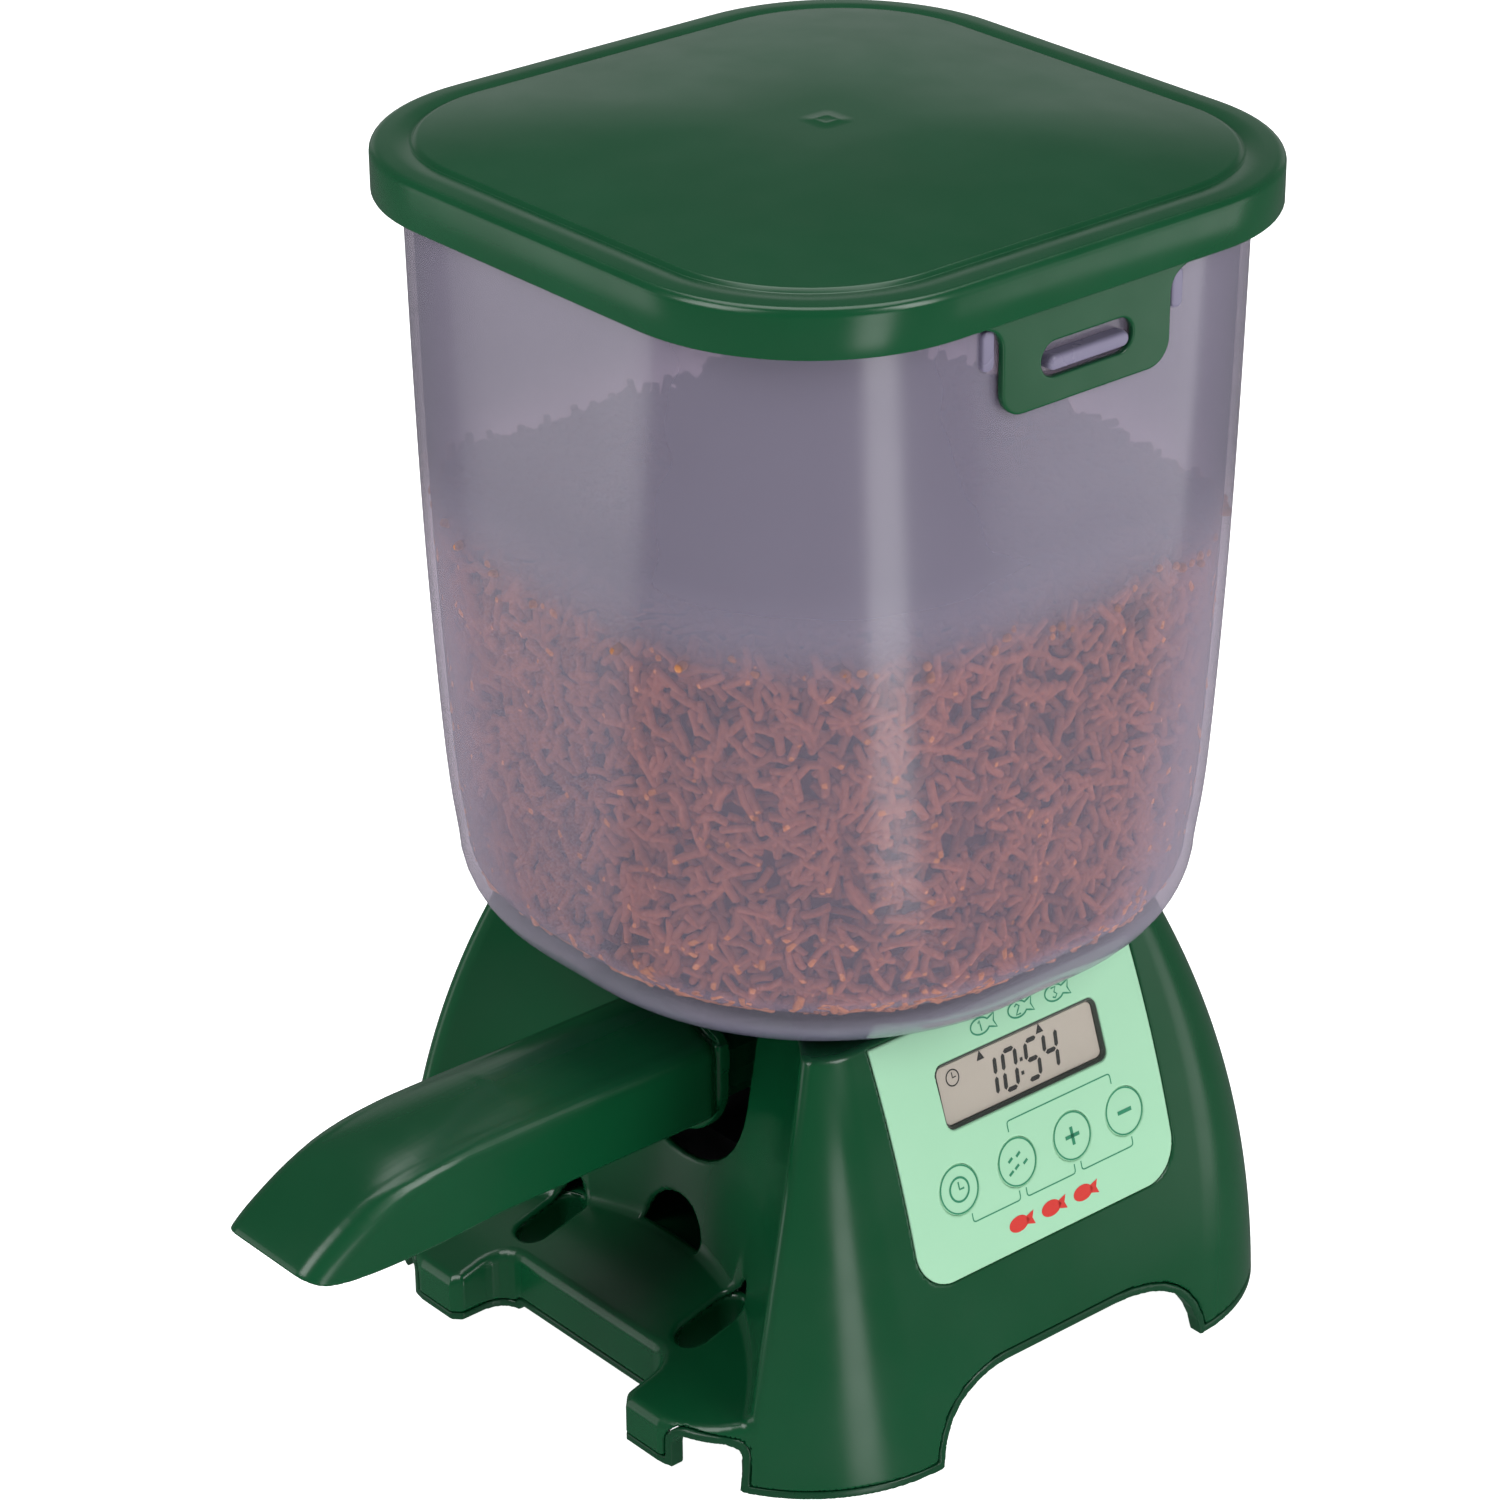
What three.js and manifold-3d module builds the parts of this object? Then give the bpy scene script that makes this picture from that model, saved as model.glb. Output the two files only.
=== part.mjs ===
// Automatic feeder for pond and aquarium fish: a translucent hopper on a flared base.
// A motor-driven screw carries feed from the hopper through a tube to the spout.
// Millimetres, +Z up, +X towards the control panel, -Y towards the tip of the spout.
import * as THREE from 'three';
import { mergeVertices } from 'three/addons/utils/BufferGeometryUtils.js';
import Module from 'manifold-3d';

const wasm = await Module();
wasm.setup();

// ---- driving dimensions ------------------------------------------------------------

const gap = 0.35;                 // between pieces that touch
const wall = 2.6;                 // moulded walls of the base
const origin_shift_y = 51.4;      // puts the origin under the middle of the whole outline

const base = { half: 115.2, radius: 59.9, top: 132.7, roof: 4, rim: 2.6 };
const arch = { front: -53, back: 57, height: 25.2, crown_front: -25, crown_back: 22 };
const rear_arch = { half: 55, crown_half: 27, height: 25.2 };

const pocket = { radius: 110, depth_y: -64, at_z: 35, lean: 0.178, reach: 100 };
const ledge = {
  top_z: 34, top_y: -66, slope: 0.2745, front: -120, leg_in: 41, leg_out: 61,
  notch_back: -100, notch_radius: 8, leg_foot: 4, notch_z: 6, arch_z: 16.5,
};
const slot = { x: 39.5, y: -82, half_width: 5.6, length: 25 };

const tube = { z: 97, bore: 15.5, outer: 17.5, front: -150, back: 31 };
const throat = { bore: 24.6, outer: 27.4, floor: 122, top: 128.3 };
const auger = { radius: 14.4, shaft: 4.5, pitch: 26, front: -156, back: 18 };

const spout = {
  half_width: 22.4, wall: 2, side_top: 111.6, crown: 117.6, side_bottom: 87,
  back: -62, flange_radius: 22.2, flange_bottom: 73.8, flange: 2.4,
};

const hopper = {
  bottom: 133.1, fillet: 31, wall: 2.8, floor: 3.2, neck: 24, neck_wall: 2.4, neck_end: 123,
};
const hopper_sections = [
  { z: 160.8, half: 109, radius: 96 },
  { z: 188, half: 108.6, radius: 86.7 },
  { z: 248, half: 108.5, radius: 78 },
  { z: 307, half: 108.0, radius: 71.6 },
  { z: 372, half: 107.0, radius: 65 },
];
const hopper_rim = { z: 372.4, top: 377, half: 109.4, radius: 66.5, relief: 107.6, relief_half: 42 };
const feed_top = 270;

const lid = {
  bottom: 366.7, top: 381.7, half: 112.5, radius: 61.7, wall: 2.4, dome_edge: 14, dome_rise: 6.4,
};
const latch = {
  axis_x: 109.1, axis_z: 365.3, thick: 2.2, half_top: 41, half: 32.5, bottom: 337.2, corner: 8,
  slot_bottom: 345.2, slot_half: 17.6, slot_height: 10.6,
};
const lug = { half: 15.4, bottom: 347.4, top: 352, reach: 111.4, corner: 2.2 };

const panel = { y_low: -53.5, y_high: 53.9, bottom: 57, top: 131, corner: 13, thick: 1 };
const panel_frame = { z: 95, lean: THREE.MathUtils.degToRad(19.3), y: 1.5 };
const display = { half_width: 33.2, up_low: 5.6, up_high: 25.6, corner: 3 };
const button = { radius: 7.8, clearance: 0.35, up: -12.6, thick: 2.6, travel: 0.6 };
const buttons = { button_time: -34.2, button_feed: -10.2, button_plus: 12.9, button_minus: 35.2 };
const button_names = Object.keys(buttons);
const button_across = Object.values(buttons);
const board = { depth: 11, thick: 1.6, half_width: 44, down: -26, up: 27 };

const gears = {
  module: 0.8, thick: 4, layers: [38, 43, 48], pin_radius: 1.5, big: 36, small: 12, output: 44,
};
const axle_turns = { second: -128.7, first: -105.1, motor: 137 };
const gearbox = {
  x_low: -43, x_high: 21.5, z_low: 43, z_high: 119, front: 35, back: 55, wall: 2, corner: 6,
};
const motor = { radius: 12, front: 3, back: 34.6 };

const cell = { radius: 13, length: 49, button: 3.2 };
const battery = { y: -13, half_x: 56, half_y: 28.4, floor: 31.8, top: 61.5, wall: 1.8 };
const door = { top: 28.6, thick: 2.2, half_x: 59, half_y: 32 };
const boss = { x: 98, y: 44, radius: 5, low: 31.8, high: 56, hole: 1.9 };
const plate = { low: 29, high: 31.4 };

// ---- materials ---------------------------------------------------------------------

function finish(color, roughness, metalness = 0, opacity = 1) {
  return { color, roughness, metalness, opacity, transparent: opacity < 1 };
}
const looks = {
  green: finish(0x1c5238, 0.25),
  dark_green: finish(0x0f3a26, 0.35),
  violet: finish(0x7c7587, 0.12, 0, 0.45),
  pellet: finish(0x9a5a35, 0.9),
  mint: finish(0xa3d3b2, 0.5),
  lens: finish(0xb9c0b2, 0.08, 0, 0.5),
  crystal: finish(0xa1a89a, 0.3),
  nylon: finish(0xe6e1d2, 0.5),
  black: finish(0x1b1c1d, 0.5),
  steel: finish(0xb8babc, 0.3, 1),
  board: finish(0x1e5a36, 0.5),
  cell: finish(0x26292e, 0.35),
};

// ---- making and joining shapes -----------------------------------------------------

function solid(geometry) {
  const bare = geometry.clone();
  bare.deleteAttribute('normal');
  bare.deleteAttribute('uv');
  const merged = mergeVertices(bare, 1e-4);
  const mesh = new wasm.Mesh({
    numProp: 3,
    vertProperties: new Float32Array(merged.attributes.position.array),
    triVerts: new Uint32Array(merged.index.array),
  });
  return new wasm.Manifold(mesh);
}

function join(...shapes) {
  return shapes.reduce((sum, shape) => sum.add(shape));
}

function cut(shape, ...tools) {
  return tools.reduce((rest, tool) => rest.subtract(tool), shape);
}

function box(x_low, x_high, y_low, y_high, z_low, z_high) {
  const geometry = new THREE.BoxGeometry(x_high - x_low, y_high - y_low, z_high - z_low);
  geometry.translate((x_low + x_high) / 2, (y_low + y_high) / 2, (z_low + z_high) / 2);
  return solid(geometry);
}

function prism_z(shape, z_low, z_high, curve_steps = 6) {
  const options = { depth: z_high - z_low, bevelEnabled: false, curveSegments: curve_steps };
  const geometry = new THREE.ExtrudeGeometry(shape, options);
  geometry.translate(0, 0, z_low);
  return solid(geometry);
}

// A shape drawn in (y, z), swept along X.
function prism_x(shape, x_low, x_high, curve_steps = 6) {
  const options = { depth: x_high - x_low, bevelEnabled: false, curveSegments: curve_steps };
  const geometry = new THREE.ExtrudeGeometry(shape, options);
  geometry.rotateX(Math.PI / 2);
  geometry.rotateZ(Math.PI / 2);
  geometry.translate(x_low, 0, 0);
  return solid(geometry);
}

// A shape drawn in (x, z), swept along Y.
function prism_y(shape, y_low, y_high, curve_steps = 6) {
  const options = { depth: y_high - y_low, bevelEnabled: false, curveSegments: curve_steps };
  const geometry = new THREE.ExtrudeGeometry(shape, options);
  geometry.rotateX(Math.PI / 2);
  geometry.translate(0, y_high, 0);
  return solid(geometry);
}

function outline(points) {
  return new THREE.Shape(points.map(([u, v]) => new THREE.Vector2(u, v)));
}

function circle(radius, u = 0, v = 0) {
  return new THREE.Shape().absarc(u, v, radius, 0, 2 * Math.PI);
}

function rounded(u_low, u_high, v_low, v_high, radius) {
  const shape = new THREE.Shape();
  shape.absarc(u_high - radius, v_low + radius, radius, -Math.PI / 2, 0);
  shape.absarc(u_high - radius, v_high - radius, radius, 0, Math.PI / 2);
  shape.absarc(u_low + radius, v_high - radius, radius, Math.PI / 2, Math.PI);
  shape.absarc(u_low + radius, v_low + radius, radius, Math.PI, 1.5 * Math.PI);
  return shape;
}

function rod_y(radius, y_low, y_high, x, z, steps = 8) {
  return prism_y(circle(radius, x, z), y_low, y_high, steps);
}

// A point of a rounded square's outline. Steps run anticlockwise, corner after corner.
function square_point(half, radius, step, corner_steps) {
  const corner = Math.floor(step / (corner_steps + 1));
  const turn = (step % (corner_steps + 1)) / corner_steps;
  const angle = (corner - 1 + turn) * (Math.PI / 2);
  const side_x = corner === 0 || corner === 1 ? 1 : -1;
  const side_y = corner === 1 || corner === 2 ? 1 : -1;
  return [
    side_x * (half - radius) + radius * Math.cos(angle),
    side_y * (half - radius) + radius * Math.sin(angle),
  ];
}

// A column of rounded squares, one for each section from the bottom up.
function column(sections, corner_steps = 6) {
  const around = 4 * (corner_steps + 1);
  const levels = sections.length - 1;
  const geometry = new THREE.CylinderGeometry(1, 1, 1, around, levels);
  const position = geometry.attributes.position;
  for (let i = 0; i < position.count; i += 1) {
    const section = sections[Math.round((position.getY(i) + 0.5) * levels)];
    const x = position.getX(i);
    const z = position.getZ(i);
    const turn = Math.atan2(x, z) / (2 * Math.PI);
    const step = (Math.round(turn * around) + around) % around;
    const middle = Math.hypot(x, z) < 0.5;
    const point = middle ? [0, 0] : square_point(section.half, section.radius, step, corner_steps);
    position.setXYZ(i, point[0], point[1], section.z);
  }
  return solid(geometry);
}

function inset(sections, by) {
  return sections.map(({ z, half, radius }) => ({ z, half: half - by, radius: radius - by }));
}

const feeder = new THREE.Group();
feeder.position.y = origin_shift_y;

function add(name, shape, look) {
  const mesh_data = shape.getMesh();
  const geometry = new THREE.BufferGeometry();
  geometry.setAttribute('position', new THREE.BufferAttribute(mesh_data.vertProperties, 3));
  geometry.setIndex(new THREE.BufferAttribute(mesh_data.triVerts, 1));
  geometry.computeVertexNormals();
  const mesh = new THREE.Mesh(geometry, new THREE.MeshStandardMaterial(looks[look]));
  mesh.name = name;
  feeder.add(mesh);
  return mesh;
}

// ---- base: the flared outside ------------------------------------------------------

function base_half(z) {
  const rise = z / 100;
  return base.half - 11.72 * rise - 9.29 * rise ** 2 - 1.95 * rise ** 3;
}

function base_section(z) {
  return { z, half: base_half(z), radius: base.radius - 0.307 * z };
}

const base_levels = [-2, 14, 30, 48, 66, 84, 102, 116];

function base_column(by, top) {
  const levels = [...base_levels.filter((z) => z < top - 3), top];
  return column(inset(levels.map(base_section), by));
}

function pocket_wall_y(z) {
  return pocket.depth_y + pocket.lean * (z - pocket.at_z);
}

// The space in front of the curved pocket wall, leaning back with height.
function pocket_space(by, low, high) {
  const radius = pocket.radius + by;
  const end = Math.asin(pocket.reach / radius);
  const shape = new THREE.Shape();
  shape.moveTo(-pocket.reach, -90);
  shape.lineTo(pocket.reach, -90);
  shape.absarc(0, 0, radius, Math.PI / 2 - end, Math.PI / 2 + end);
  const options = { depth: high - low, bevelEnabled: false, curveSegments: 10 };
  const geometry = new THREE.ExtrudeGeometry(shape, options);
  const position = geometry.attributes.position;
  for (let i = 0; i < position.count; i += 1) {
    const z = position.getZ(i) + low;
    position.setXYZ(i, position.getX(i), position.getY(i) + pocket_wall_y(z) - pocket.radius, z);
  }
  return solid(geometry);
}

function ledge_top(y, by) {
  return ledge.top_z + ledge.slope * (y - ledge.top_y) - by;
}

// The ledge's outline from above: a curved front, two legs and the notch between them.
function ledge_plan(by) {
  const r = ledge.notch_radius;
  const leg_in = ledge.leg_in + by;
  const back = ledge.notch_back + by;
  const front = ledge.front + by;
  const shape = new THREE.Shape();
  shape.absarc(leg_in - r, back - r, r, Math.PI / 2, 0, true);
  shape.lineTo(leg_in, front + 3);
  shape.lineTo(leg_in + 3, front);
  shape.lineTo(ledge.leg_out - 2, front);
  shape.quadraticCurveTo(78, front + 3, 86 - by, -103 + by);
  shape.lineTo(88 - by, -50);
  shape.lineTo(-88 + by, -50);
  shape.lineTo(-86 + by, -103 + by);
  shape.quadraticCurveTo(-78, front + 3, -ledge.leg_out + 2, front);
  shape.lineTo(-leg_in - 3, front);
  shape.lineTo(-leg_in, front + 3);
  shape.absarc(-leg_in + r, back - r, r, Math.PI, Math.PI / 2, true);
  return shape;
}

function ledge_block(by) {
  const front = ledge.front - 10;
  const back = -45;
  const under_slope = outline([
    [front, -5], [back, -5], [back, ledge_top(back, by)], [front, ledge_top(front, by)],
  ]);
  return prism_z(ledge_plan(by), -2, 60, 3).intersect(prism_x(under_slope, -95, 95));
}

// Everything below the lower edge: the arches, and the space under the ledge.
function underside(by) {
  const side = new THREE.Shape();
  side.moveTo(arch.front - by, -10);
  side.lineTo(arch.back + by, -10);
  side.lineTo(arch.back + by, 0);
  side.quadraticCurveTo(arch.back - 2 + by, arch.height - 1 + by, arch.crown_back, arch.height + by);
  side.lineTo(arch.crown_front, arch.height + by);
  side.quadraticCurveTo(arch.front + 2 - by, arch.height - 2 + by, arch.front - by, 0);
  const rear = new THREE.Shape();
  rear.moveTo(-rear_arch.half - by, -10);
  rear.lineTo(rear_arch.half + by, -10);
  rear.lineTo(rear_arch.half + by, 0);
  rear.quadraticCurveTo(
    rear_arch.half - 2 + by, rear_arch.height - 2 + by, rear_arch.crown_half, rear_arch.height + by,
  );
  rear.lineTo(-rear_arch.crown_half, rear_arch.height + by);
  rear.quadraticCurveTo(-rear_arch.half + 2 - by, rear_arch.height - 2 + by, -rear_arch.half - by, 0);
  const legs = box(-ledge.leg_out - 3, ledge.leg_out + 3, -130, -68, -10, ledge.leg_foot + by);
  const notch = box(-34 - by, 34 + by, -130, -68, -10, ledge.notch_z + by);
  const right = box(64 - by, 83 + by, -130, -84, -10, ledge.arch_z + by);
  const left = box(-83 - by, -64 + by, -130, -84, -10, ledge.arch_z + by);
  return join(prism_x(side, -130, 130, 4), prism_y(rear, 40, 130, 4), legs, notch, right, left);
}

function base_block(by, top) {
  return join(cut(base_column(by, top), pocket_space(by, -12, 140)), ledge_block(by));
}

// ---- control panel -----------------------------------------------------------------

// A solid drawn in the panel's own frame: X outwards, Y across, Z up the slope.
function on_panel(shape) {
  const radians_to_degrees = 180 / Math.PI;
  return shape
    .rotate([0, -panel_frame.lean * radians_to_degrees, 0])
    .translate([base_half(panel_frame.z), panel_frame.y, panel_frame.z]);
}

function panel_prism(by, x_low, x_high) {
  const top = panel.top + by;
  const low = panel.bottom - by;
  const corner = panel.corner + by;
  const shape = new THREE.Shape();
  shape.absarc(panel.y_low - by + corner, low + corner, corner, Math.PI, 1.5 * Math.PI);
  shape.absarc(panel.y_high + by - corner, low + corner, corner, -Math.PI / 2, 0);
  shape.lineTo(panel.y_high + by, top);
  shape.lineTo(panel.y_low - by, top);
  return prism_x(shape, x_low, x_high, 4);
}

function display_prism(by, out_low, out_high) {
  const { half_width, up_low, up_high, corner } = display;
  const shape = rounded(-half_width - by, half_width + by, up_low - by, up_high + by, corner + by);
  return on_panel(prism_x(shape, out_low, out_high, 3));
}

function button_disc(index, radius, out_low, out_high, steps = 5) {
  return on_panel(prism_x(circle(radius, button_across[index], button.up), out_low, out_high, steps));
}

// ---- base pieces -------------------------------------------------------------------

function base_housing() {
  const inner_top = base.top - base.roof;
  let shell = cut(base_block(0, base.top), base_block(wall, inner_top), underside(base.rim + gap));
  shell = cut(shell, box(-130, 130, -130, 130, -10, base.rim + gap));
  const mouth = new THREE.Shape();
  mouth.absarc(0, 90, 28.6, Math.PI, 2 * Math.PI);
  mouth.lineTo(28.6, 119);
  mouth.lineTo(-28.6, 119);
  const drain = new THREE.Shape();
  drain.absarc(0, 34, 13.5, 0, Math.PI);
  shell = cut(shell, prism_y(mouth, -80, -40), prism_y(drain, -80, -50));
  shell = cut(shell, prism_z(circle(throat.bore + 1), inner_top - 3, base.top + 3));
  for (const side of [-1, 1]) {
    const x = side * slot.x;
    const y_low = slot.y - slot.length / 2;
    const shape = rounded(
      x - slot.half_width, x + slot.half_width, y_low, y_low + slot.length, slot.half_width - 0.05,
    );
    shell = cut(shell, prism_z(shape, 15, 50, 4));
  }
  const recess = base_column(-3, 140).intersect(panel_prism(0.3, 40, 130));
  shell = cut(shell, cut(recess, base_column(panel.thick + 0.25, 140)));
  shell = cut(shell, display_prism(gap, -12, 12));
  for (let i = 0; i < 4; i += 1) {
    shell = cut(shell, button_disc(i, button.radius + button.clearance, -12, 12));
  }
  for (const side_x of [-1, 1]) {
    for (const side_y of [-1, 1]) {
      const x = side_x * boss.x;
      const y = side_y * boss.y;
      const post = prism_z(circle(boss.radius, x, y), boss.low, boss.high, 3);
      const rib_end = side_x * (base_half(boss.high) - wall / 2);
      const rib = box(Math.min(x, rib_end), Math.max(x, rib_end), y - 1, y + 1, boss.low + 2, boss.high);
      shell = cut(join(shell, post, rib), prism_z(circle(boss.hole, x, y), boss.low - 1, boss.high - 6, 2));
    }
  }
  return shell;
}

function lower_cover() {
  const skirt = wall + gap;
  const skirt_wall = 2.2;
  const tray_block = cut(base_column(skirt, plate.high), pocket_space(skirt, -12, 140));
  const tray_column = base_column(skirt + skirt_wall, plate.low);
  const tray_hollow = cut(tray_column, pocket_space(skirt + skirt_wall, -12, 140));
  const tray = cut(tray_block, tray_hollow, underside(0), box(-130, 130, -130, 130, -10, 0));
  const lip_ring = cut(base_block(0, 40), base_block(skirt + skirt_wall, 45));
  const lip_zone = join(underside(base.rim), box(-130, 130, -130, 130, -5, base.rim));
  const lip = cut(lip_ring.intersect(lip_zone), underside(0), box(-130, 130, -130, 130, -10, 0));
  const bay = box(
    -battery.half_x + 2, battery.half_x - 2,
    battery.y - battery.half_y + 2, battery.y + battery.half_y - 2, plate.low - 2, plate.high + 2,
  );
  let cover = cut(join(tray, lip), bay);
  for (const side_x of [-1, 1]) {
    for (const side_y of [-1, 1]) {
      const hole = prism_z(circle(boss.hole, side_x * boss.x, side_y * boss.y), 20, 40, 2);
      cover = cut(cover, hole);
    }
  }
  for (const side of [-1, 1]) {
    const x = side * (door.half_x + 1.6);
    const rail_back = battery.y + battery.half_y + 58;
    const rail_front = battery.y - battery.half_y - 6;
    const rail = box(x - 1.2, x + 1.2, rail_front, rail_back, door.top - door.thick - 2, plate.low + 0.5);
    const lip_x = side * door.half_x;
    const under = door.top - door.thick - gap;
    const hook = box(lip_x - 1.6, lip_x + 1.6, rail_front, rail_back, under - 1.6, under);
    cover = join(cover, rail, hook);
  }
  return cover;
}

function cover_screw(x, y) {
  const head = prism_z(circle(3.4, x, y), plate.low - 2.2, plate.low - gap, 3);
  const shank = prism_z(circle(boss.hole - gap, x, y), plate.low - 0.5, boss.high - 12, 2);
  return join(head, shank);
}

// ---- hopper and feed ---------------------------------------------------------------

function hopper_column(by, low, top) {
  const first = hopper_sections[0];
  const fillet = hopper.fillet;
  const sections = [];
  for (const turn of [0, 0.25, 0.5, 0.75]) {
    const angle = turn * (Math.PI / 2);
    const pull = fillet - (fillet - by) * Math.sin(angle);
    const z = first.z - (first.z - low) * Math.cos(angle);
    sections.push({ z, half: first.half - pull, radius: first.radius - pull });
  }
  const upper = inset(hopper_sections.filter(({ z }) => z < top - 2), by);
  const last = hopper_sections.findIndex(({ z }) => z >= top - 2);
  const above = hopper_sections[last < 0 ? hopper_sections.length - 1 : last];
  const below = hopper_sections[last < 0 ? hopper_sections.length - 1 : last - 1];
  const part = above.z === below.z ? 1 : (top - below.z) / (above.z - below.z);
  sections.push(...upper);
  sections.push({
    z: top,
    half: below.half + (above.half - below.half) * part - by,
    radius: below.radius + (above.radius - below.radius) * part - by,
  });
  return column(sections, 6);
}

function hopper_body() {
  const { half: rim_half, relief, relief_half } = hopper_rim;
  let rim = column([
    { z: 364, half: 106.6, radius: 65 },
    { z: hopper_rim.z, half: rim_half, radius: hopper_rim.radius },
    { z: hopper_rim.top, half: rim_half, radius: hopper_rim.radius },
  ]);
  // each latch passes the rim as the lid lifts
  rim = cut(
    rim,
    box(relief, 130, -relief_half, relief_half, 363, 380),
    box(-130, -relief, -relief_half, relief_half, 363, 380),
  );
  let body = join(hopper_column(0, hopper.bottom, 372), rim);
  body = join(body, prism_z(circle(hopper.neck), hopper.neck_end, hopper.bottom + 1));
  for (const side of [-1, 1]) {
    const inside = side * 104;
    const reach = side * lug.reach;
    const bar = rounded(-lug.half, lug.half, lug.bottom, lug.top, lug.corner);
    body = join(body, prism_x(bar, Math.min(inside, reach), Math.max(inside, reach), 4));
  }
  const hollow = join(
    hopper_column(hopper.wall, hopper.bottom + hopper.floor, 371),
    column([
      { z: 370, half: 107 - hopper.wall, radius: 65 - hopper.wall },
      { z: 380, half: 107 - hopper.wall, radius: 65 - hopper.wall },
    ]),
  );
  return cut(body, hollow, prism_z(circle(hopper.neck - hopper.neck_wall), hopper.neck_end - 1, 140));
}

function feed_pellets() {
  const clear = hopper.wall + 0.4;
  const heap = hopper_column(clear, hopper.bottom + hopper.floor + 0.4, feed_top);
  return join(heap, prism_z(circle(hopper.neck - hopper.neck_wall - 0.4), hopper.neck_end, 140));
}

// ---- lid and latches ---------------------------------------------------------------

function lid_cover() {
  const { bottom, top, half, radius, dome_edge, dome_rise } = lid;
  const outside = column([
    { z: bottom, half, radius },
    { z: top - 2, half, radius },
    { z: top, half: half - 2.2, radius: radius - 2.2 },
    { z: top, half: half - dome_edge + 1, radius: radius - dome_edge + 1 },
    { z: top + 0.9, half: half - dome_edge - 1, radius: radius - dome_edge - 1 },
    { z: top + dome_rise * 0.6, half: half * 0.6, radius: radius * 0.6 },
    { z: top + dome_rise, half: half * 0.2, radius: radius * 0.2 },
  ]);
  const inside = column([
    { z: bottom - 1, half: half - lid.wall, radius: radius - lid.wall },
    { z: top - 3, half: half - lid.wall, radius: radius - lid.wall },
    { z: top - 2.4, half: half - dome_edge, radius: radius - dome_edge },
    { z: top + dome_rise * 0.6 - 2.6, half: half * 0.5, radius: radius * 0.5 },
  ]);
  return cut(outside, inside);
}

function latch_tab(side) {
  const { axis_x, axis_z, thick, half_top, half: half_width, bottom, corner } = latch;
  const top = axis_z + 0.4;
  const shape = new THREE.Shape();
  shape.moveTo(half_top, top);
  shape.quadraticCurveTo(half_width, top - 1, half_width, top - 8);
  shape.absarc(half_width - corner, bottom + corner, corner, 0, -Math.PI / 2, true);
  shape.absarc(corner - half_width, bottom + corner, corner, -Math.PI / 2, -Math.PI, true);
  shape.lineTo(-half_width, top - 8);
  shape.quadraticCurveTo(-half_width, top - 1, -half_top, top);
  const { slot_half, slot_bottom, slot_height } = latch;
  const window_radius = slot_height / 2 - 0.05;
  const opening = rounded(-slot_half, slot_half, slot_bottom, slot_bottom + slot_height, window_radius);
  const middle = side * axis_x;
  const tab = prism_x(shape, middle - thick / 2, middle + thick / 2, 4);
  return cut(tab, prism_x(opening, middle - thick, middle + thick, 4));
}

// ---- spout, feed tube and auger ----------------------------------------------------

function hood_profile(by) {
  const lower = spout.side_bottom - (by > 0 ? 30 : 0);
  const front_trim = by * 2;
  return outline([
    [spout.back + 1 + by, lower], [spout.back + 1 + by, 130],
    [-164, 130], [-164, spout.crown - 2 - by], [-180, 111.5 - by], [-197, 104.8 - by],
    [-211 + front_trim, 97 - by], [-218 + front_trim, 91.6 - by],
    [-214 + front_trim, 88.8 - by], [-205 + front_trim, 86.6 - by * 15], [-190, lower - 1.6],
    [-170, lower - 1.4], [-147, lower],
  ]);
}

function hood_section(by) {
  const half_width = spout.half_width - by;
  const side_top = spout.side_top - by * 0.6;
  const shape = new THREE.Shape();
  shape.moveTo(-half_width, 50);
  shape.lineTo(half_width, 50);
  shape.lineTo(half_width, side_top - 2);
  shape.quadraticCurveTo(half_width, side_top, half_width - 4, side_top + 1.6);
  shape.quadraticCurveTo(0, spout.crown * 2 - side_top - 1.6 - by * 1.4, 4 - half_width, side_top + 1.6);
  shape.quadraticCurveTo(-half_width, side_top, -half_width, side_top - 2);
  return shape;
}

function spout_hood() {
  const hood_column = prism_y(hood_section(0), -220, spout.back, 4);
  const outside = prism_x(hood_profile(0), -30, 30).intersect(hood_column);
  const inside = prism_x(hood_profile(spout.wall), -30, 30)
    .intersect(prism_y(hood_section(spout.wall), -220, spout.back + 5, 4));
  const radius = spout.flange_radius;
  const flange_middle = spout.flange_bottom + radius;
  const shape = new THREE.Shape();
  shape.absarc(0, flange_middle, radius, Math.PI, 2 * Math.PI);
  shape.lineTo(radius, spout.side_top - 2);
  shape.lineTo(-radius, spout.side_top - 2);
  const flange = prism_y(shape, spout.back, spout.back + spout.flange + 1, 6);
  const crown = prism_y(hood_section(0), spout.back, spout.back + spout.flange + 1, 4)
    .intersect(box(-30, 30, -70, -50, spout.side_top - 10, 125));
  const passage = rod_y(tube.outer + gap, -140, -40, 0, tube.z, 8);
  return cut(join(cut(outside, inside), flange, crown), passage);
}

function feed_tube() {
  const outside = join(
    rod_y(tube.outer, tube.front, tube.back, 0, tube.z, 8),
    prism_z(circle(throat.outer), tube.z, throat.top, 8),
  );
  const bore = rod_y(tube.bore, tube.front - 1, tube.back - 2.4, 0, tube.z, 8);
  const mouth = prism_z(circle(throat.bore), throat.floor, throat.top + 1, 8);
  const drop = prism_z(circle(tube.bore - 1.5), tube.z, throat.top, 8);
  const shaft_hole = rod_y(auger.shaft + 2, tube.back - 5, tube.back + 1, 0, tube.z, 5);
  return cut(outside, bore, mouth, drop, shaft_hole);
}

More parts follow.
